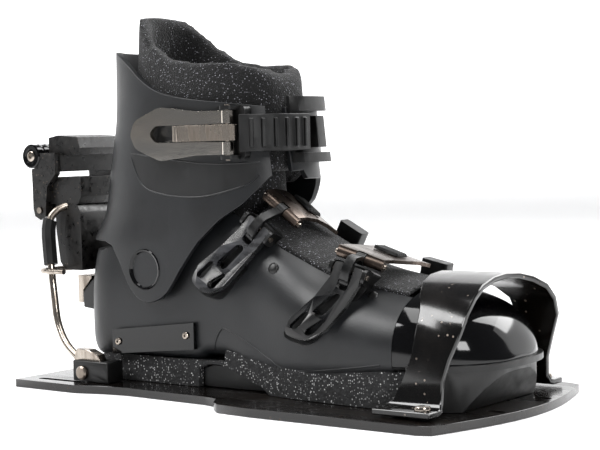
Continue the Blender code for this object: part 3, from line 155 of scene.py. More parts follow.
@dataclass(frozen=True)
class Finish:
    """One real material and the way that its surface was made; sizes in mm."""

    name: str
    slot: str
    colour: str
    tint: str
    patch: float
    roughness: float
    spread: float
    grain: Grain
    pitch: float
    relief: float
    metallic: float = 0.0
    coat: float = 0.0
    fleck: str = ""
    fleck_size: float = 1.0
    fleck_share: float = 0.0
    along: Point = (1.0, 1.0, 1.0)
    sheen: float = 0.0
    ior: float = 1.5
    strength: float = 0.6
    # colour of a painted highlight laid on sharp edges, found by pointiness
    edge: str = ""

    def material(self) -> bpy.types.Material:
        """Build the material, or return the one already built.

        Returns:
            The material.
        """
        known = bpy.data.materials.get(self.name)
        if known:
            return known
        made = bpy.data.materials.new(self.name)
        made.use_nodes = True
        tree = made.node_tree
        tree.nodes.clear()
        place = add_node(tree, "ShaderNodeTexCoord")
        laid = add_node(tree, "ShaderNodeMapping", {"Scale": self.along}, {"Vector": place.outputs["Object"]})
        patches = add_node(tree, "ShaderNodeTexNoise",
                           {"Scale": 1 / (self.patch * MM), "Detail": 5.0, "Roughness": 0.6},
                           {"Vector": laid.outputs[0]})
        span = add_node(tree, "ShaderNodeMapRange",
                        {"From Min": PATCH_RANGE[0], "From Max": PATCH_RANGE[1]},
                        {"Value": patches.outputs["Fac"]})
        colour = add_node(tree, "ShaderNodeMix", {"data_type": "RGBA", 6: linear(self.colour),
                                                  7: linear(self.tint)}, {"Factor": span.outputs[0]})
        shade = colour.outputs[2]
        if self.fleck:
            flecks = add_node(tree, "ShaderNodeTexVoronoi",
                              {"Scale": 1 / (self.fleck_size * MM)}, {"Vector": place.outputs["Object"]})
            grey = add_node(tree, "ShaderNodeSeparateColor", {}, {0: flecks.outputs["Color"]})
            near = add_node(tree, "ShaderNodeMath", {"operation": "LESS_THAN", 1: FLECK_REACH},
                            {0: flecks.outputs["Distance"]})
            some = add_node(tree, "ShaderNodeMath", {"operation": "LESS_THAN", 1: self.fleck_share},
                            {0: grey.outputs[0]})
            both = add_node(tree, "ShaderNodeMath", {"operation": "MULTIPLY"},
                            {0: near.outputs[0], 1: some.outputs[0]})
            part = add_node(tree, "ShaderNodeMath", {"operation": "MULTIPLY"},
                            {0: both.outputs[0], 1: grey.outputs[1]})
            mixed = add_node(tree, "ShaderNodeMix", {"data_type": "RGBA", 7: linear(self.fleck)},
                             {"Factor": part.outputs[0], 6: shade})
            shade = mixed.outputs[2]
        # Painted highlight: edges that stand out, by pointiness, are lightened towards the edge colour.
        if self.edge:
            form = add_node(tree, "ShaderNodeNewGeometry")
            highlight_share = add_node(tree, "ShaderNodeMapRange",
                              {"From Min": HIGHLIGHT_RANGE[0], "From Max": HIGHLIGHT_RANGE[1]},
                              {"Value": form.outputs["Pointiness"]})
            highlighted = add_node(tree, "ShaderNodeMix", {"data_type": "RGBA", 7: linear(self.edge)},
                              {"Factor": highlight_share.outputs[0], 6: shade})
            shade = highlighted.outputs[2]
        rough = add_node(tree, "ShaderNodeMapRange",
                         {"To Min": max(LEAST_ROUGHNESS, self.roughness - self.spread),
                          "To Max": min(1.0, self.roughness + self.spread)}, {"Value": span.outputs[0]})
        height = self.relief_height(tree, place.outputs["Object"], laid.outputs[0])
        bump = add_node(tree, "ShaderNodeBump", {"Strength": self.strength, "Distance": self.relief * MM},
                        {"Height": height})
        shader = add_node(tree, "ShaderNodeBsdfPrincipled",
                          {"Metallic": self.metallic, "IOR": self.ior, "Coat Weight": self.coat,
                           "Coat Roughness": COAT_ROUGHNESS, "Sheen Weight": self.sheen,
                           "Sheen Roughness": SHEEN_ROUGHNESS},
                          {"Base Color": shade, "Roughness": rough.outputs[0], "Normal": bump.outputs[0]})
        add_node(tree, "ShaderNodeOutputMaterial", {}, {"Surface": shader.outputs[0]})
        return made

    def relief_height(self, tree: bpy.types.NodeTree, place: bpy.types.NodeSocket,
                      laid: bpy.types.NodeSocket) -> bpy.types.NodeSocket:
        """Lay the fine relief.

        Args:
            tree: the material's node tree.
            place: coordinates in the part.
            laid: the same, stretched along the grain.
        Returns:
            The socket that holds the height.
        """
        scale = 1 / (self.pitch * MM)
        if self.grain is Grain.CRUMB:
            crumbs = add_node(tree, "ShaderNodeTexVoronoi", {"Scale": scale, "feature": "SMOOTH_F1"},
                              {"Vector": place})
            return crumbs.outputs["Distance"]
        if self.grain is Grain.KNIT:
            loops = add_node(tree, "ShaderNodeTexVoronoi", {"Scale": scale}, {"Vector": place})
            fuzz = add_node(tree, "ShaderNodeTexNoise", {"Scale": scale * 2.2, "Detail": 3.0},
                            {"Vector": place})
            lifted = add_node(tree, "ShaderNodeMath", {"operation": "SUBTRACT"},
                              {0: fuzz.outputs["Fac"], 1: loops.outputs["Distance"]})
            return lifted.outputs[0]
        noise = add_node(tree, "ShaderNodeTexNoise", {"Scale": scale, "Detail": 3.0},
                         {"Vector": laid if self.grain is Grain.DRAWN else place})
        return noise.outputs["Fac"]


# Hard-anodised aluminium: near black, with long brown streaks that are a painted reflection, and a wet gloss.
PLATE = Finish("anodised_aluminium_plate", "plate_black", "#040303", "#120d0a", 26.0, 0.24, 0.10,
               Grain.DRAWN, 1.6, 0.03, coat=0.25, along=(0.25, 1.0, 1.0), fleck="#3c3026",
               fleck_size=2.2, fleck_share=0.08, strength=0.4)
# Injection-moulded polyurethane with a spark-eroded grain: slate, satin, soft wide highlights.
# The real grain is about 0.2 mm, and is drawn at 1.1 mm so that it shows.
SHELL = Finish("moulded_polyurethane", "shell_plastic", "#0c0d0f", "#121417", 34.0, 0.42, 0.05,
               Grain.PEBBLE, 1.1, 0.08, strength=0.8)
# The same polyurethane, rougher, on the recess under the cuff buckle; its darker colour is painted shade of
# the recess.
SHADED_RECESS = Finish("moulded_polyurethane_recess", "shell_plastic", "#050506", "#090a0b", 12.0, 0.5, 0.05,
               Grain.PEBBLE, 0.9, 0.04)
# Polished nylon: black with a hard clear gloss.
GLOSS = Finish("polished_nylon", "gloss_black", "#020203", "#040405", 40.0, 0.10, 0.04, Grain.PEBBLE,
               3.0, 0.01, coat=0.1, strength=0.2, ior=1.42)
# Aluminium strip bent and lacquered: black with a brown cast that is a painted tan reflection, dust specks
# and a clear gloss.
HOOP = Finish("lacquered_aluminium_hoop", "gloss_black", "#030303", "#0b0806", 30.0, 0.16, 0.07,
              Grain.PEBBLE, 2.0, 0.03, coat=0.2, along=(1.0, 0.3, 1.0), fleck="#8d8278",
              fleck_size=1.8, fleck_share=0.06, strength=0.3)
# Glass-filled nylon: black with short fibres at the skin, so its gloss is broken.
CAST = Finish("glass_filled_nylon", "cast_black", "#040404", "#080808", 7.0, 0.36, 0.08, Grain.PEBBLE,
              1.1, 0.05)
# The same nylon, rubbed and water-stained: brown-grey specks break up its black.
HOUSING = Finish("glass_filled_nylon_worn", "cast_black", "#040404", "#100d0b", 4.0, 0.38, 0.12,
                 Grain.PEBBLE, 1.8, 0.14, fleck="#4a4036", fleck_size=1.6, fleck_share=0.10)
# Bonded rubber granules: matt grey with pale crumbs 1 to 2 mm across.
GRANULES = Finish("bonded_rubber_granules", "grip_grey", "#131314", "#2c2c2d", 3.0, 0.92, 0.04,
                  Grain.CRUMB, 1.5, 0.5, fleck="#c4c4c4", fleck_size=1.3, fleck_share=0.45, strength=0.9)
# Looped polyester over foam: black yarn, every few loops catch a pale point of light.
# The yarn is about 0.4 mm, and is drawn at about 1 mm so that it shows.
CLOTH = Finish("looped_polyester", "liner_cloth", "#020203", "#050506", 9.0, 0.95, 0.03, Grain.KNIT,
               1.1, 0.5, sheen=0.12, fleck="#a2a2aa", fleck_size=0.9, fleck_share=0.26, strength=0.9)
# Chromed zinc casting: a warm mirror with slight waves from the polishing wheel.
CHROME = Finish("chromed_zinc", "chrome", "#f1ece4", "#d8cfc3", 18.0, 0.09, 0.04, Grain.DRAWN, 5.0, 0.03,
                metallic=1.0, along=(0.3, 1.0, 1.0), strength=0.3)
# Drawn stainless wire and turned screws: grey metal with fine lines along it.
STEEL = Finish("drawn_stainless_steel", "steel", "#b5aca2", "#8c8278", 6.0, 0.26, 0.08, Grain.DRAWN,
               0.7, 0.03, metallic=1.0, along=(1.0, 1.0, 0.2))
# Anodised aluminium strap: tan grey, satin, with a rolled grain along X.
BRONZE = Finish("bronze_anodised_aluminium", "bronze_plate", "#6c6058", "#4c433d", 8.0, 0.30, 0.08,
                Grain.DRAWN, 0.8, 0.03, metallic=1.0, along=(0.25, 1.0, 1.0))
# Tumbled magnesium lever: dark grey faces, with a painted highlight along its edges.
LEVER = Finish("tumbled_magnesium", "bronze_plate", "#3a3b3e", "#55565a", 7.0, 0.28, 0.08, Grain.DRAWN,
               1.0, 0.03, metallic=0.9, along=(0.4, 1.0, 1.0), edge="#c9c8c6")
# Magnesium lever in black enamel, with a painted highlight along its edges.
LEVER_BLACK = Finish("enamelled_magnesium", "gloss_black", "#070708", "#101113", 9.0, 0.2, 0.06,
                     Grain.PEBBLE, 1.4, 0.02, metallic=0.3, coat=0.4, edge="#b4b3b2")
# Moulded natural rubber: deep black with a dull bloom.
RUBBER = Finish("moulded_rubber", "rubber_black", "#030303", "#070707", 10.0, 0.42, 0.08, Grain.PEBBLE,
                1.2, 0.05)


# ---- mesh helpers ----
def smooth_value(table: Table, at: float) -> float:
    """Cubic Hermite value of a station table, with slopes limited so that it never overshoots.

    Args:
        table: (station, value) pairs in rising order.
        at: station to read.
    Returns:
        The value there.
    """
    if at <= table[0][0]:
        return table[0][1]
    if at >= table[-1][0]:
        return table[-1][1]
    steps = [(b[1] - a[1]) / (b[0] - a[0]) for a, b in zip(table, table[1:])]
    index = next(i for i in range(len(steps)) if at <= table[i + 1][0])

    def slope(i: int) -> float:
        """Slope of the curve.

        Args:
            i: number of the station.
        Returns:
            The slope there.
        """
        if i in (0, len(steps)):
            return steps[0 if i == 0 else -1]
        if steps[i - 1] * steps[i] <= 0:
            return 0.0
        return 2 * steps[i - 1] * steps[i] / (steps[i - 1] + steps[i])

    (x0, y0), (x1, y1) = table[index], table[index + 1]
    h = x1 - x0
    t = (at - x0) / h
    return ((2 * t ** 3 - 3 * t ** 2 + 1) * y0 + (t ** 3 - 2 * t ** 2 + t) * h * slope(index)
            + (3 * t ** 2 - 2 * t ** 3) * y1 + (t ** 3 - t ** 2) * h * slope(index + 1))


def straight_value(table: Table, at: float) -> float:
    """Straight-line value of a table, held at its ends.

    Args:
        table: (station, value) pairs in rising order.
        at: station to read.
    Returns:
        The value there.
    """
    if at <= table[0][0]:
        return table[0][1]
    for (x0, y0), (x1, y1) in zip(table, table[1:]):
        if at <= x1:
            return y0 + (y1 - y0) * (at - x0) / (x1 - x0)
    return table[-1][1]


def signed_power(value: float, exponent: float) -> float:
    """Power of the size of a value, with its sign kept."""
    return math.copysign(abs(value) ** exponent, value)


def smooth_route(points: Sequence[Point], per_span: int = 4) -> list[Vector]:
    """Points along a smooth curve through the given route points.

    Args:
        points: route points in mm.
        per_span: points between two route points.
    Returns:
        The points of the curve.
    """
    ends = [points[0], *points, points[-1]]
    route = []
    for i in range(1, len(ends) - 2):
        a, b, c, d = (Vector(p) for p in ends[i - 1:i + 3])
        for step in range(per_span):
            t = step / per_span
            route.append(0.5 * (2 * b + (c - a) * t + (2 * a - 5 * b + 4 * c - d) * t ** 2
                                + (3 * b - a - 3 * c + d) * t ** 3))
    route.append(Vector(points[-1]))
    return route


def place(name: str, shape: bmesh.types.BMesh) -> bpy.types.Object:
    """Turn a bmesh in metres into a smooth-shaded object.

    Args:
        name: name of the piece.
        shape: the mesh, which is freed.
    Returns:
        The new object, in the scene.
    """
    bmesh.ops.recalc_face_normals(shape, faces=shape.faces)
    mesh = bpy.data.meshes.new(name)
    shape.to_mesh(mesh)
    shape.free()
    mesh.shade_smooth()
    mesh.set_sharp_from_angle(angle=math.radians(SHARP_ANGLE))
    piece = bpy.data.objects.new(name, mesh)
    bpy.context.scene.collection.objects.link(piece)
    return piece


def grid(name: str, rows: Sequence[Sequence[Point]], wrap: bool = False,
         weld: float = 0.0) -> bpy.types.Object:
    """A sheet through rows of points in mm.

    Args:
        name: name of the piece.
        rows: equal rows of points.
        wrap: join the end of each row to its start.
        weld: distance in mm under which points join.
    Returns:
        The new object.
    """
    shape = bmesh.new()
    made = [[shape.verts.new(Vector(p) * MM) for p in row] for row in rows]
    count = len(made[0])
    for upper, lower in zip(made, made[1:]):
        for i in range(count if wrap else count - 1):
            j = (i + 1) % count
            shape.faces.new((upper[i], upper[j], lower[j], lower[i]))
    if weld:
        bmesh.ops.remove_doubles(shape, verts=shape.verts, dist=weld * MM)
        bmesh.ops.dissolve_degenerate(shape, edges=shape.edges, dist=weld * MM)
    return place(name, shape)


def thicken(piece: bpy.types.Object, wall: float) -> bpy.types.Object:
    """Give a sheet its wall.

    Args:
        piece: the sheet, which is the outer skin.
        wall: thickness, inwards, in mm.
    Returns:
        The same piece.
    """
    solid = piece.modifiers.new("wall", "SOLIDIFY")
    solid.thickness = wall * MM
    solid.offset = -1.0
    solid.use_even_offset = False
    return piece


def soften_edges(piece: bpy.types.Object, width: float, segments: int = 2,
                 angle: float = 35.0) -> bpy.types.Object:
    """Round the sharp edges of a piece.

    Args:
        piece: the piece.
        width: width of the rounding in mm.
        segments: faces across it.
        angle: least angle in degrees of an edge that is rounded.
    Returns:
        The same piece.
    """
    edge = piece.modifiers.new("edge", "BEVEL")
    edge.width = width * MM
    edge.segments = segments
    edge.limit_method = "ANGLE"
    edge.angle_limit = math.radians(angle)
    edge.harden_normals = True
    return piece


def tube(name: str, route: Sequence[Vector], radius: float, sides: int = 6) -> bpy.types.Object:
    """A round wire with closed ends.

    Args:
        name: name of the piece.
        route: points of its middle line in mm.
        radius: radius in mm.
        sides: bevel resolution of its section.
    Returns:
        The new object.
    """
    curve = bpy.data.curves.new(name, "CURVE")
    curve.dimensions = "3D"
    spline = curve.splines.new("POLY")
    spline.points.add(len(route) - 1)
    for target, point in zip(spline.points, route):
        target.co = (*(Vector(point) * MM), 1.0)
    curve.bevel_depth = radius * MM
    curve.bevel_resolution = sides
    curve.use_fill_caps = True
    holder = bpy.data.objects.new(name + "_route", curve)
    bpy.context.scene.collection.objects.link(holder)
    bpy.context.view_layer.update()
    shown = holder.evaluated_get(bpy.context.evaluated_depsgraph_get())
    shape = bmesh.new()
    mesh = bpy.data.meshes.new_from_object(shown)
    shape.from_mesh(mesh)
    bmesh.ops.remove_doubles(shape, verts=shape.verts, dist=TUBE_WELD * MM)
    bpy.data.meshes.remove(mesh)
    bpy.data.objects.remove(holder)
    return place(name, shape)


def turned(name: str, base: Vector, axis: Vector, profile: Sequence[tuple[float, float]],
           socket: float = 0.0, depth: float = 0.0, steps: int = 36) -> bpy.types.Object:
    """A turned head, with a six-sided socket if it has one; sizes in mm.

    Args:
        name: name of the piece.
        base: point on the axis at height 0.
        axis: direction out of the surface.
        profile: (radius, height) pairs from the foot of the head up to its middle.
        socket: distance from the middle to a flat of the socket.
        depth: depth of the socket.
        steps: points round the head.
    Returns:
        The new object.
    """
    turn = Matrix.Translation(base) @ axis.to_track_quat("Z", "Y").to_matrix().to_4x4()
    rings = [[turn @ Vector((r * math.cos(2 * math.pi * i / steps), r * math.sin(2 * math.pi * i / steps), h))
              for i in range(steps)] for r, h in profile]
    if socket:
        top = profile[-1][1]
        for height in (top, top - depth):
            ring = []
            for i in range(steps):
                a = 2 * math.pi * i / steps
                r = socket / math.cos((a % (math.pi / 3)) - math.pi / 6)
                ring.append(turn @ Vector((r * math.cos(a), r * math.sin(a), height)))
            rings.append(ring)
    shape = bmesh.new()
    made = [[shape.verts.new(p * MM) for p in ring] for ring in rings]
    for upper, lower in zip(made, made[1:]):
        for i in range(steps):
            j = (i + 1) % steps
            shape.faces.new((upper[i], upper[j], lower[j], lower[i]))
    shape.faces.new(made[0])
    shape.faces.new(made[-1])
    return place(name, shape)


def welded(node: str) -> bmesh.types.BMesh:
    """A welded copy of a frame part's mesh, with its flat faces whole again.

    Args:
        node: frame part.
    Returns:
        The copy, in metres.
    """
    shape = bmesh.new()
    shape.from_mesh(frame["nodes"][node].data)
    bmesh.ops.remove_doubles(shape, verts=shape.verts, dist=WELD * MM)
    bmesh.ops.dissolve_limit(shape, angle_limit=math.radians(FLAT_ANGLE), verts=shape.verts,
                             edges=shape.edges)
    return shape


def wear(piece: bpy.types.Object, finish: Finish, body: str, *nodes: str) -> bpy.types.Object:
    """Dress a piece, put it on its body and let it stand for frame parts.

    Args:
        piece: the piece, in place.
        finish: its material.
        body: the body that carries it.
        nodes: frame parts that it stands for.
    Returns:
        The same piece.
    """
    piece.data.materials.clear()
    piece.data.materials.append(finish.material())
    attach(piece, body)
    if nodes:
        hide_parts(*nodes)
    log.info("%s on %s in %s", piece.name, body, finish.name)
    return piece


def refine(node: str, finish: Finish, width: float, segments: int = 2,
           angle: float = 35.0) -> bpy.types.Object:
    """Stand a copy with rounded edges in a frame part's place.

    Args:
        node: frame part.
        finish: its material.
        width: edge rounding in mm.
        segments: faces across the rounding.
        angle: least angle of an edge that is rounded.
    Returns:
        The new piece.
    """
    piece = place(node + "_shaped", welded(node))
    soften_edges(piece, width, segments, angle)
    return wear(piece, finish, body_of(frame["nodes"][node])[0], node)


def paint(finish: Finish, *nodes: str) -> None:
    """Give frame parts that keep their own mesh a finish.

    Args:
        finish: the material.
        nodes: frame parts.
    """
    for node in nodes:
        for held in frame["nodes"][node].material_slots:
            held.material = finish.material()
        log.info("%s painted in %s", node, finish.name)


class Skin:
    """Looks up points on the outside of a frame part."""

    def __init__(self, node: str) -> None:
        """Read the part's mesh.

        Args:
            node: frame part.
        """
        shape = bmesh.new()
        shape.from_mesh(frame["nodes"][node].data)
        self.tree = BVHTree.FromBMesh(shape)
        shape.free()

    def point(self, x: float, z: float, side: Side, lift: float = 0.0) -> Vector | None:
        """Outer point at a station and height on one side, in mm.

        Args:
            x: station along the boot.
            z: height.
            side: side of the boot.
            lift: how far the point stands out from the surface.
        Returns:
            The point, or None where the part has no surface there.
        """
        hit, normal, _, _ = self.tree.ray_cast(Vector((x, side.value * 120, z)) * MM,
                                               Vector((0, -side.value, 0)))
        return None if hit is None else (hit + normal * lift * MM) / MM

    def bead(self, name: str, corners: Sequence[tuple[float, float]], side: Side,
             radius: float) -> bpy.types.Object:
        """A half-sunk moulding line on one side.

        Args:
            name: name of the piece.
            corners: (x, z) points that it passes through, in mm.
            side: side of the boot.
            radius: radius of the bead in mm.
        Returns:
            The new object.
        """
        flat = smooth_route([(x, 0.0, z) for x, z in corners], 10)
        found = [self.point(p.x, p.z, side) for p in flat]
        return tube(name, [p for p in found if p is not None], radius, 3)


# ---- soft goods ----
@dataclass
class Upholstery:
    """Turns a frame part's foam solid into a padded, sewn piece."""

    node: str
    voxel: float
    swell: float
    frames: int = 14
    fill: float = 0.5

    def build(self) -> bpy.types.Object:
        """Even out the mesh, let the padding swell it, and smooth it.

        Returns:
            The dressed piece.
        """
        body = body_of(frame["nodes"][self.node])[0]
        shape = bmesh.new()
        shape.from_mesh(frame["nodes"][self.node].data)
        bmesh.ops.remove_doubles(shape, verts=shape.verts, dist=WELD * MM)
        piece = place(self.node + "_cloth", shape)
        even = piece.modifiers.new("even_faces", "REMESH")
        even.mode = "VOXEL"
        even.voxel_size = self.voxel * MM
        self.keep_result(piece)
        if self.swell:
            self.swell_out(piece)
        relax = piece.modifiers.new("relax", "SMOOTH")
        relax.iterations = 3
        smooth = piece.modifiers.new("smooth", "SUBSURF")
        smooth.levels = smooth.render_levels = 1
        self.keep_result(piece)
        piece.data.shade_smooth()
        return wear(piece, CLOTH, body, self.node)

    def keep_result(self, piece: bpy.types.Object) -> None:
        """Apply every modifier of a piece to its mesh.

        Args:
            piece: the piece, whose mesh is replaced.
        """
        bpy.context.view_layer.update()
        shown = piece.evaluated_get(bpy.context.evaluated_depsgraph_get())
        mesh = bpy.data.meshes.new_from_object(shown)
        piece.modifiers.clear()
        piece.data = mesh

    def swell_out(self, piece: bpy.types.Object) -> None:
        """Blow the cover up with cloth pressure, no further than the swell in mm.

        Args:
            piece: the piece, whose mesh is replaced.
        """
        rest = [v.co.copy() for v in piece.data.vertices]
        cloth = piece.modifiers.new("padding", "CLOTH")
        cloth.settings.use_pressure = True
        cloth.settings.uniform_pressure_force = 4.0
        cloth.settings.effector_weights.gravity = 0.0
        scene = bpy.context.scene
        for step in range(1, self.frames + 1):
            scene.frame_set(step)
        self.keep_result(piece)
        for vertex, start in zip(piece.data.vertices, rest):
            move = vertex.co - start
            if move.length > self.swell * MM:
                vertex.co = start + move.normalized() * self.swell * MM
        scene.frame_set(1)


@dataclass
class Liner:
    """Foam liner: collar round the leg, neck, tongue over the instep, and the foot part."""

    collar: Upholstery = field(default_factory=lambda: Upholstery("liner_collar", 3.2, 1.4, fill=0.7))
    tongue: Upholstery = field(default_factory=lambda: Upholstery("liner_tongue", 1.0, 0.0, fill=0.4))
    neck: Upholstery = field(default_factory=lambda: Upholstery("liner_neck", 1.6, 0.0, fill=0.4))

    def build(self) -> None:
        """Build the padded pieces and the lining of the foot."""
        for part in (self.collar, self.tongue, self.neck):
            part.build()
        foot = place("liner_foot_cloth", welded("liner_foot"))
        wear(foot, CLOTH, "binding", "liner_foot")


# ---- shells ----
@dataclass
class FootShell:
    """Lower shell and toe cap, moulded over one last."""

    heel_x: float = -149.0
    heel_radius: float = 36.0
    ball_x: float = 100.0
    ball_half: float = 54.0
    toe_x: float = 162.0
    wall: float = 3.5
    split: tuple[float, float] = (111.85, 112.15)
    side: Table = ((-113, 36), (-75, 37.5), (-40, 37.5), (0, 41), (40, 48.5), (75, 53), (100, 54))
    top: Table = ((-149, 88), (-138, 104), (-122, 122), (-80, 130), (-42, 131), (-20, 127), (0, 114),
                  (16, 101), (32, 92), (64, 79), (100, 72), (118, 69), (138, 63), (150, 55), (158, 44),
                  (162, 33))
    widest: Table = ((-149, 46), (-60, 50), (20, 50), (70, 38), (120, 34), (162, 30))
    sole: Table = ((-149, 17), (-60, 19), (-44, 20), (-34, 24), (-24, 24), (0, 17), (25, 13.5), (45, 14),
                   (80, 18), (119, 23), (150, 26), (162, 28))
    upper: Table = ((-149, 2.3), (-80, 2.4), (-20, 3.2), (20, 2.8), (60, 2.4), (162, 2.3))
    lower: Table = ((-149, 3.2), (-120, 6), (20, 6), (80, 4.5), (162, 3.6))
    ankle_cut: Table = ((-170, 87), (-126, 87), (-104, 92), (-66, 98), (-36, 103), (-20, 113), (-12, 117))
    throat_half: float = 31.0
    lines: tuple[Table, ...] = (
        ((-29, 29), (-23, 40), (-17, 42), (2, 35), (19, 27), (39, 21), (104, 26)),
        ((29, 21), (50, 22.5), (70, 25), (104, 30)))
    rivets: tuple[tuple[float, float], ...] = ((21, 80), (89, 66))

    def half_width(self, x: float) -> float:
        """Half width of the last.

        Args:
            x: station in mm.
        Returns:
            The half width in mm.
        """
        middle = self.heel_x + self.heel_radius
        if x < middle:
            return self.heel_radius * max(0.0, 1 - (abs(x - middle) / self.heel_radius) ** 2.2) ** (1 / 2.2)
        if x <= self.ball_x:
            return smooth_value(self.side, x)
        reach = (x - self.ball_x) / (self.toe_x - self.ball_x)
        return self.ball_half * max(0.0, 1 - reach ** 2.6) ** (1 / 2.6)

    def point(self, x: float, turn: float, side: float) -> Point:
        """Point on the last.

        Args:
            x: station.
            turn: angle in degrees from -90 at the sole to 90 on top.
            side: -1 or 1.
        Returns:
            The point in mm.
        """
        wide, middle = self.half_width(x), smooth_value(self.widest, x)
        c, s = math.cos(math.radians(turn)), math.sin(math.radians(turn))
        if s >= 0:
            power = 2 / smooth_value(self.upper, x)
            return (x, side * wide * max(c, 0.0) ** power,
                    middle + (smooth_value(self.top, x) - middle) * s ** power)
        power = 2 / smooth_value(self.lower, x)
        return (x, side * wide * max(c, 0.0) ** power,
                middle - (middle - smooth_value(self.sole, x)) * (-s) ** power)

    def opened(self, p: Point) -> bool:
        """Whether a point lies in the ankle opening or in the throat.

        Args:
            p: point on the last in mm.
        Returns:
            True where the shell is cut away.
        """
        x, y, z = p
        if x < -12 and z > straight_value(self.ankle_cut, x):
            return True
        return x > -30 and abs(y) < self.throat_half and z > 46

    def edge_turn(self, x: float) -> float:
        """Angle at which the shell ends.

        Args:
            x: station in mm.
        Returns:
            The angle in degrees, 90 where the section is closed.
        """
        low, high = 0.0, 90.0
        if not self.opened(self.point(x, 89.9, 1)):
            return 90.0
        for _ in range(24):
            middle = (low + high) / 2
            if self.opened(self.point(x, middle, 1)):
                high = middle
            else:
                low = middle
        return low

    def skin(self, name: str, stations: Sequence[float], closed: bool) -> bpy.types.Object:
        """Sheet of the last.

        Args:
            name: name of the piece.
            stations: its stations in mm.
            closed: whether the sections close on top.
        Returns:
            The new object.
        """
        rows, half = [], 44
        for x in stations:
            end = 90.0 if closed else self.edge_turn(x)
            row = []
            for i in range(-half, half + 1):
                share = abs(i) / half
                row.append(self.point(x, -90 + (end + 90) * share, -1 if i < 0 else 1))
            rows.append(row)
        return grid(name, rows, weld=0.02)

    def build(self) -> None:
        """Build the shell, the toe cap, their rivets and moulding lines."""
        heel = [self.heel_x + self.heel_radius * (1 - math.cos(math.radians(a))) for a in range(0, 91, 5)]
        waist = [heel[-1] + (self.split[0] - heel[-1]) * i / 90 for i in range(1, 91)]
        shell = thicken(self.skin("boot_shell", heel + waist, False), self.wall)
        wear(soften_edges(shell, 0.7, 3, 50), SHELL, "binding", "lower_shell")
        reach = self.toe_x - self.split[1]
        toe = [self.split[1] + reach * math.sin(math.radians(a)) for a in range(0, 91, 3)]
        cap = thicken(self.skin("toe_dome", toe, True), self.wall)
        wear(soften_edges(cap, 0.7, 3, 50), GLOSS, "binding", "toe_cap")
        skin = Skin("lower_shell")
        for side in Side:
            label = side.name.lower()
            for number, line in enumerate(self.lines):
                wear(skin.bead(f"shell_line_{label}_{number + 1}", line, side, 0.55), SHELL, "binding")
            for number, (x, z) in enumerate(self.rivets):
                base = skin.point(x, z, side, -0.6)
                if base is None:
                    continue
                head = turned(f"throat_rivet_{label}_{number + 1}", base,
                              Vector((0, side.value, 0.35)).normalized(),
                              [(3.4, 0.0), (3.4, 1.0), (3.0, 1.5), (1.9, 1.9), (0.8, 2.0)])
                wear(head, CAST, "binding")
        for node in ("ankle_rivet_near", "ankle_rivet_far"):
            paint(GLOSS, node)


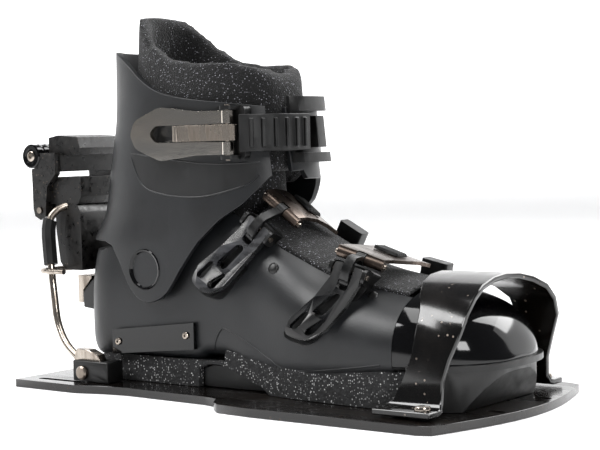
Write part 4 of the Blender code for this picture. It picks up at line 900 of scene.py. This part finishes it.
@dataclass
class Cuff:
    """Hinged cuff with its buckle, ladder strap and end frame."""

    back: Table = ((46, -147), (90, -146), (112, -134), (138, -129), (174, -122), (216, -120))
    front: Table = ((46, 22), (90, 22), (112, 20), (138, 16), (174, 12), (216, 6))
    half: Table = ((46, 45.5), (90, 45.5), (112, 45), (138, 44), (174, 43.5), (216, 44))
    rim: Table = ((-160, 212), (-114, 213), (-102, 210), (-90, 203), (-78, 194), (-64, 186.5), (-46, 182),
                  (-15, 178), (40, 171))
    lobe: Table = ((-170, 93.5), (-116, 93.5), (-107, 91), (-99, 80), (-91, 66), (-83, 58.5), (-74, 56),
                   (-65, 58.5), (-57, 64), (-47, 78), (-34, 94), (-18, 108), (-4, 117))
    near_front: Table = ((4, 126), (9, 133), (40, 148))
    far_front: Table = ((9, 131), (40, 133))
    slit: tuple[float, float] = (-24.0, -12.0)
    wall: float = 3.5
    recess: tuple[Table, Table] = (((-88, 149), (-30, 142), (4, 142)),
                                   ((-88, 146), (-77, 129), (-57, 123), (-29, 122), (-4, 128), (4, 134)))

    def ring_point(self, z: float, share: float) -> Point:
        """Point on the cuff.

        Args:
            z: height in mm.
            share: share of the way round from the far lip to the near lip of the slit.
        Returns:
            The point in mm.
        """
        back, front, half = (smooth_value(t, z) for t in (self.back, self.front, self.half))
        centre, reach = (front + back) / 2, (front - back) / 2
        first = -math.asin((-self.slit[1] / half) ** 1.25)
        last = 2 * math.pi - math.asin((-self.slit[0] / half) ** 1.25)
        angle = first + (last - first) * share
        return (centre + reach * signed_power(math.cos(angle), 0.8),
                half * signed_power(math.sin(angle), 0.8), z)

    def edge(self, share: float, table: Table, read: Callable[[Table, float], float]) -> float:
        """Height at which a column meets the rim or the lower edge.

        Args:
            share: share of the way round.
            table: (x, z) line of the rim or the edge.
            read: the function that reads the table.
        Returns:
            The height in mm.
        """
        z = 140.0
        for _ in range(30):
            z = 0.5 * z + 0.5 * read(table, self.ring_point(z, share)[0])
        return z

    def build(self) -> None:
        """Build the cuff shell, the recess under the buckle, and the buckle's pieces."""
        columns, count = [], 200
        for i in range(count + 1):
            share = i / count
            side = self.ring_point(140, share)[1]
            low_table = self.lobe + (self.near_front if side < 0 else self.far_front)
            low, high = self.edge(share, low_table, straight_value), self.edge(share, self.rim, smooth_value)
            columns.append([self.ring_point(low + (high - low) * k / 44, share) for k in range(45)])
        cuff = thicken(grid("cuff_shell", columns), self.wall)
        wear(soften_edges(cuff, 0.8, 3, 50), SHELL, "cuff_group", "cuff")
        skin = Skin("cuff")
        upper, lower = self.recess
        rows = []
        for i in range(49):
            x = -87.5 + 90.0 * i / 48
            top, low = smooth_value(upper, x), smooth_value(lower, x)
            found = [skin.point(x, low + (top - low) * k / 8, Side.NEAR, 0.25) for k in range(9)]
            if all(p is not None for p in found):
                rows.append([tuple(p) for p in found])
        # Painted shade: the recess field is a darker sheet laid on the cuff under the buckle.
        wear(grid("cuff_recess", rows), SHADED_RECESS, "cuff_group")
        wear(skin.bead("cuff_recess_line", list(lower), Side.NEAR, 0.6), SHELL, "cuff_group")
        wear(skin.bead("cuff_recess_top", list(upper), Side.NEAR, 0.6), SHELL, "cuff_group")
        refine("cuff_lever", CHROME, 0.7, 3)
        refine("cuff_link", STEEL, 0.4)
        for node in ("cuff_buckle_base", "cuff_ladder", "ladder_frame"):
            refine(node, CAST, 0.5)
        paint(STEEL, "cuff_lever_pin")


@dataclass
class SideBuckle:
    """Buckle on the side of the boot: lever, link, strap over the instep, ladder block and catch."""

    label: str
    lever: Finish

    def build(self) -> None:
        """Round and dress every piece of the buckle."""
        refine(self.label + "_lever", self.lever, 0.6, 3)
        for part in ("_base", "_link", "_ladder_block", "_catch"):
            refine(self.label + part, CAST, 0.45)
        refine(self.label + "_strap", BRONZE, 0.35)
        paint(STEEL, self.label + "_pin", self.label + "_rod")


# ---- deck ----
@dataclass
class Deck:
    """Base plate, toe hoop, soles, lug and badge."""

    screw_head: Table = ((4.5, 0.0), (4.5, 1.2), (4.0, 2.0), (3.0, 2.2))
    badge_head: Table = ((2.3, 0.0), (2.3, 0.8), (1.9, 1.3), (1.4, 1.4))

    def build(self) -> None:
        """Round and dress the plate and all that stands on it."""
        refine("base_plate", PLATE, 0.5, 2)
        refine("toe_hoop", HOOP, 0.5, 3)
        refine("grip_sole", GRANULES, 0.6)
        refine("arch_block", RUBBER, 0.8)
        refine("toe_lug", RUBBER, 0.5)
        refine("badge", GLOSS, 0.7, 3)
        refine("heel_ledge", GLOSS, 1.2, 3)
        for label in ("near", "far"):
            node = "hoop_screw_" + label
            low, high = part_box(node)
            self.screw(node, Vector(((low.x + high.x) / 2, (low.y + high.y) / 2, high.z)) / MM
                       - Vector((0, 0, 2.2)), Vector((0, 0, 1)), self.screw_head, 1.5)
        for number in (1, 2):
            node = f"badge_screw_{number}"
            low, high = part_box(node)
            self.screw(node, Vector(((low.x + high.x) / 2, low.y, (low.z + high.z) / 2)) / MM
                       + Vector((0, 1.4, 0)), Vector((0, -1, 0)), self.badge_head, 0.8)

    def screw(self, node: str, base: Vector, axis: Vector, head: Table, socket: float) -> None:
        """Stand a socket-head screw in a frame screw's place.

        Args:
            node: frame screw.
            base: foot of the head, in mm.
            axis: direction out of the surface.
            head: (radius, height) pairs of the head.
            socket: distance from the middle to a flat of the socket, in mm.
        """
        piece = turned(node + "_head", base, axis, head, socket, 1.1)
        wear(piece, STEEL, "binding", node)


# ---- heel release ----
@dataclass
class HeelRelease:
    """Sprung release behind the heel: wire bail, sleeves, housing, jaw, spring, lever and roller."""

    foot_y: float = 48.0
    leg: tuple[Point, ...] = ((-135, 48, 20.5), (-146, 46, 28), (-156, 42.5, 40), (-161.5, 39.5, 55),
                              (-166, 37, 72), (-169.5, 35, 88), (-171, 33.8, 100), (-170, 31.5, 108.5),
                              (-166.5, 26.5, 113.6), (-162.5, 18.5, 115.6), (-160, 8, 116), (-160, 0, 116))
    tie_half: tuple[Point, ...] = ((-150, 41.8, 73), (-160, 41.8, 73), (-167.6, 41.4, 73), (-172.2, 38, 73),
                                   (-172.6, 30, 73), (-172.6, 0, 73))
    wire: float = 2.4
    roller_x: float = -190.0
    roller_z: float = 148.0

    def both_sides(self, half: Sequence[Point]) -> list[Point]:
        """Route from the near end of a half route to its far end."""
        return [(x, -y, z) for x, y, z in half] + list(reversed(half[:-1]))

    def build(self) -> None:
        """Build the wires and the grip roller, and dress the rest."""
        legs = ((-127.5, self.foot_y, 15.2),) + self.leg
        bail = tube("bail_wire", smooth_route(self.both_sides(legs), 8), self.wire)
        wear(bail, STEEL, "bail_group", "bail")
        tie = tube("bail_tie_wire", smooth_route(self.both_sides(self.tie_half), 8), 1.8)
        wear(tie, STEEL, "bail_group", "bail_tie")
        for label in ("near", "far"):
            refine("leg_sleeve_" + label, RUBBER, 0.4)
            refine("bail_clamp_" + label, STEEL, 0.3)
            refine("clevis_" + label, CAST, 0.4)
            paint(STEEL, "clevis_screw_" + label)
        for node in ("release_housing", "release_saddle", "release_lever"):
            refine(node, HOUSING, 0.6, 2)
        refine("jaw", STEEL, 0.4)
        paint(STEEL, "release_spring", "lever_axle")
        self.roller()

    def roller(self) -> None:
        """Grip roller: a grooved barrel with dished ends and a hub screw at each end."""
        steps, rows = 48, []
        profile = [(0.0, -29.2), (4.6, -29.2), (5.2, -29.9), (7.2, -30.0), (8.0, -29.2)]
        for i in range(9):
            y = -24.0 + 6.0 * i
            profile += [(8.0, y - 1.2), (7.3, y - 0.7), (7.3, y + 0.7), (8.0, y + 1.2)]
        profile += [(8.0, 29.2), (7.2, 30.0), (5.2, 29.9), (4.6, 29.2), (0.0, 29.2)]
        for r, y in profile:
            rows.append([(self.roller_x + r * math.cos(2 * math.pi * i / steps), y,
                          self.roller_z + r * math.sin(2 * math.pi * i / steps)) for i in range(steps)])
        piece = grid("grip_roller", rows, wrap=True, weld=0.01)
        wear(piece, GLOSS, "release_lever_group", "lever_roller")
        for side in Side:
            hub = turned(f"roller_hub_{side.name.lower()}",
                         Vector((self.roller_x, side.value * 29.1, self.roller_z)),
                         Vector((0, side.value, 0)), [(3.4, 0.0), (3.4, 0.6), (3.0, 0.9)], 1.4, 0.7)
            wear(hub, STEEL, "release_lever_group")


# ---- studio ----
@dataclass
class Studio:
    """Plain pale floor, soft lights and the camera."""

    azimuth: float = 37.1
    elevation: float = 3.0
    roll: float = 1.4
    distance: float = 984.0
    target: Point = (11.0, 0.0, 103.0)
    lens: float = 97.2

    def build(self) -> None:
        """Set the floor, the lights and the camera."""
        self.floor()
        self.backdrop()
        self.sky()
        self.light("key", (-900, -900, 1300), (-40, 0, 120), 800, 24.0)
        self.light("fill", (1300, -600, 800), (60, 0, 70), 500, 11.0)
        self.light("rim", (300, 1100, 1000), (0, 0, 110), 900, 18.0)
        self.light("overhead", (60, -60, 1600), (40, 0, 60), 900, 14.0)
        self.camera()

    def floor(self) -> None:
        """A wide pale floor just under the plate."""
        shape = bmesh.new()
        bmesh.ops.create_grid(shape, x_segments=8, y_segments=8, size=9.0)
        floor = place("floor", shape)
        floor.location.z = -0.0002
        made = bpy.data.materials.new("matt_paper")
        made.use_nodes = True
        tree = made.node_tree
        shader = tree.nodes["Principled BSDF"]
        fibre = add_node(tree, "ShaderNodeTexNoise", {"Scale": 40.0, "Detail": 4.0})
        tone = add_node(tree, "ShaderNodeMix", {"data_type": "RGBA", 6: linear("#f7f7f7"),
                                                7: linear("#f2f2f3")}, {"Factor": fibre.outputs["Fac"]})
        tree.links.new(tone.outputs[2], shader.inputs["Base Color"])
        shader.inputs["Roughness"].default_value = 0.9
        shader.inputs["Specular IOR Level"].default_value = 0.1
        shader.inputs["Emission Color"].default_value = linear("#ffffff")
        shader.inputs["Emission Strength"].default_value = 0.25
        floor.data.materials.append(made)

    def backdrop(self) -> None:
        """A tall white half round of paper, far behind the boot as the camera sees it."""
        middle = math.radians(90 + self.azimuth)
        angles = [middle + math.radians(a) for a in range(-75, 76, 5)]
        rows = [[(4200 * math.cos(a), 4200 * math.sin(a), z) for a in angles] for z in (-1, 900, 1800, 2700)]
        wall = grid("backdrop", rows)
        made = bpy.data.materials.new("lit_paper")
        made.use_nodes = True
        shader = made.node_tree.nodes["Principled BSDF"]
        shader.inputs["Base Color"].default_value = linear("#f4f4f4")
        shader.inputs["Roughness"].default_value = 0.9
        shader.inputs["Emission Color"].default_value = linear("#ffffff")
        shader.inputs["Emission Strength"].default_value = 0.9
        wall.data.materials.append(made)

    def sky(self) -> None:
        """Even white light from all round."""
        world = bpy.data.worlds.new("studio")
        world.use_nodes = True
        back = world.node_tree.nodes["Background"]
        back.inputs[0].default_value = linear("#f4f6fa")
        back.inputs[1].default_value = 0.16
        bpy.context.scene.world = world
        bpy.context.scene.view_settings.view_transform = "Standard"

    def light(self, name: str, at: Point, aim: Point, size: float, power: float) -> None:
        """A soft square light.

        Args:
            name: name of the light.
            at: its place in mm.
            aim: the point that it faces, in mm.
            size: edge of its square in mm.
            power: watts.
        """
        lamp = bpy.data.lights.new(name, "AREA")
        lamp.size = size * MM
        lamp.energy = power
        holder = bpy.data.objects.new(name, lamp)
        holder.location = Vector(at) * MM
        holder.rotation_euler = (Vector(aim) - Vector(at)).to_track_quat("-Z", "Y").to_euler()
        bpy.context.scene.collection.objects.link(holder)

    def camera(self) -> None:
        """The camera, low on the outer side in front of the toe."""
        a, e, roll = (math.radians(v) for v in (self.azimuth, self.elevation, self.roll))
        forward = Vector((-math.sin(a) * math.cos(e), math.cos(a) * math.cos(e), -math.sin(e)))
        across = Vector((math.cos(a), math.sin(a), 0))
        up = across.cross(forward)
        right = across * math.cos(roll) - up * math.sin(roll)
        top = across * math.sin(roll) + up * math.cos(roll)
        lens = bpy.data.cameras.new("camera")
        lens.lens = self.lens
        lens.clip_start, lens.clip_end = 0.01, 60.0
        holder = bpy.data.objects.new("camera", lens)
        turn = Matrix((right, top, -forward)).transposed().to_4x4()
        holder.matrix_world = Matrix.Translation((Vector(self.target) - forward * self.distance) * MM) @ turn
        bpy.context.scene.collection.objects.link(holder)
        bpy.context.scene.camera = holder


def main() -> None:
    """Build every sub-assembly in order."""
    logging.basicConfig(level=logging.INFO, format="%(message)s")
    Studio().build()
    Deck().build()
    FootShell().build()
    Liner().build()
    Cuff().build()
    SideBuckle("mid", LEVER).build()
    SideBuckle("toe", LEVER_BLACK).build()
    HeelRelease().build()
    bpy.context.view_layer.update()


if __name__ == "__main__":
    main()
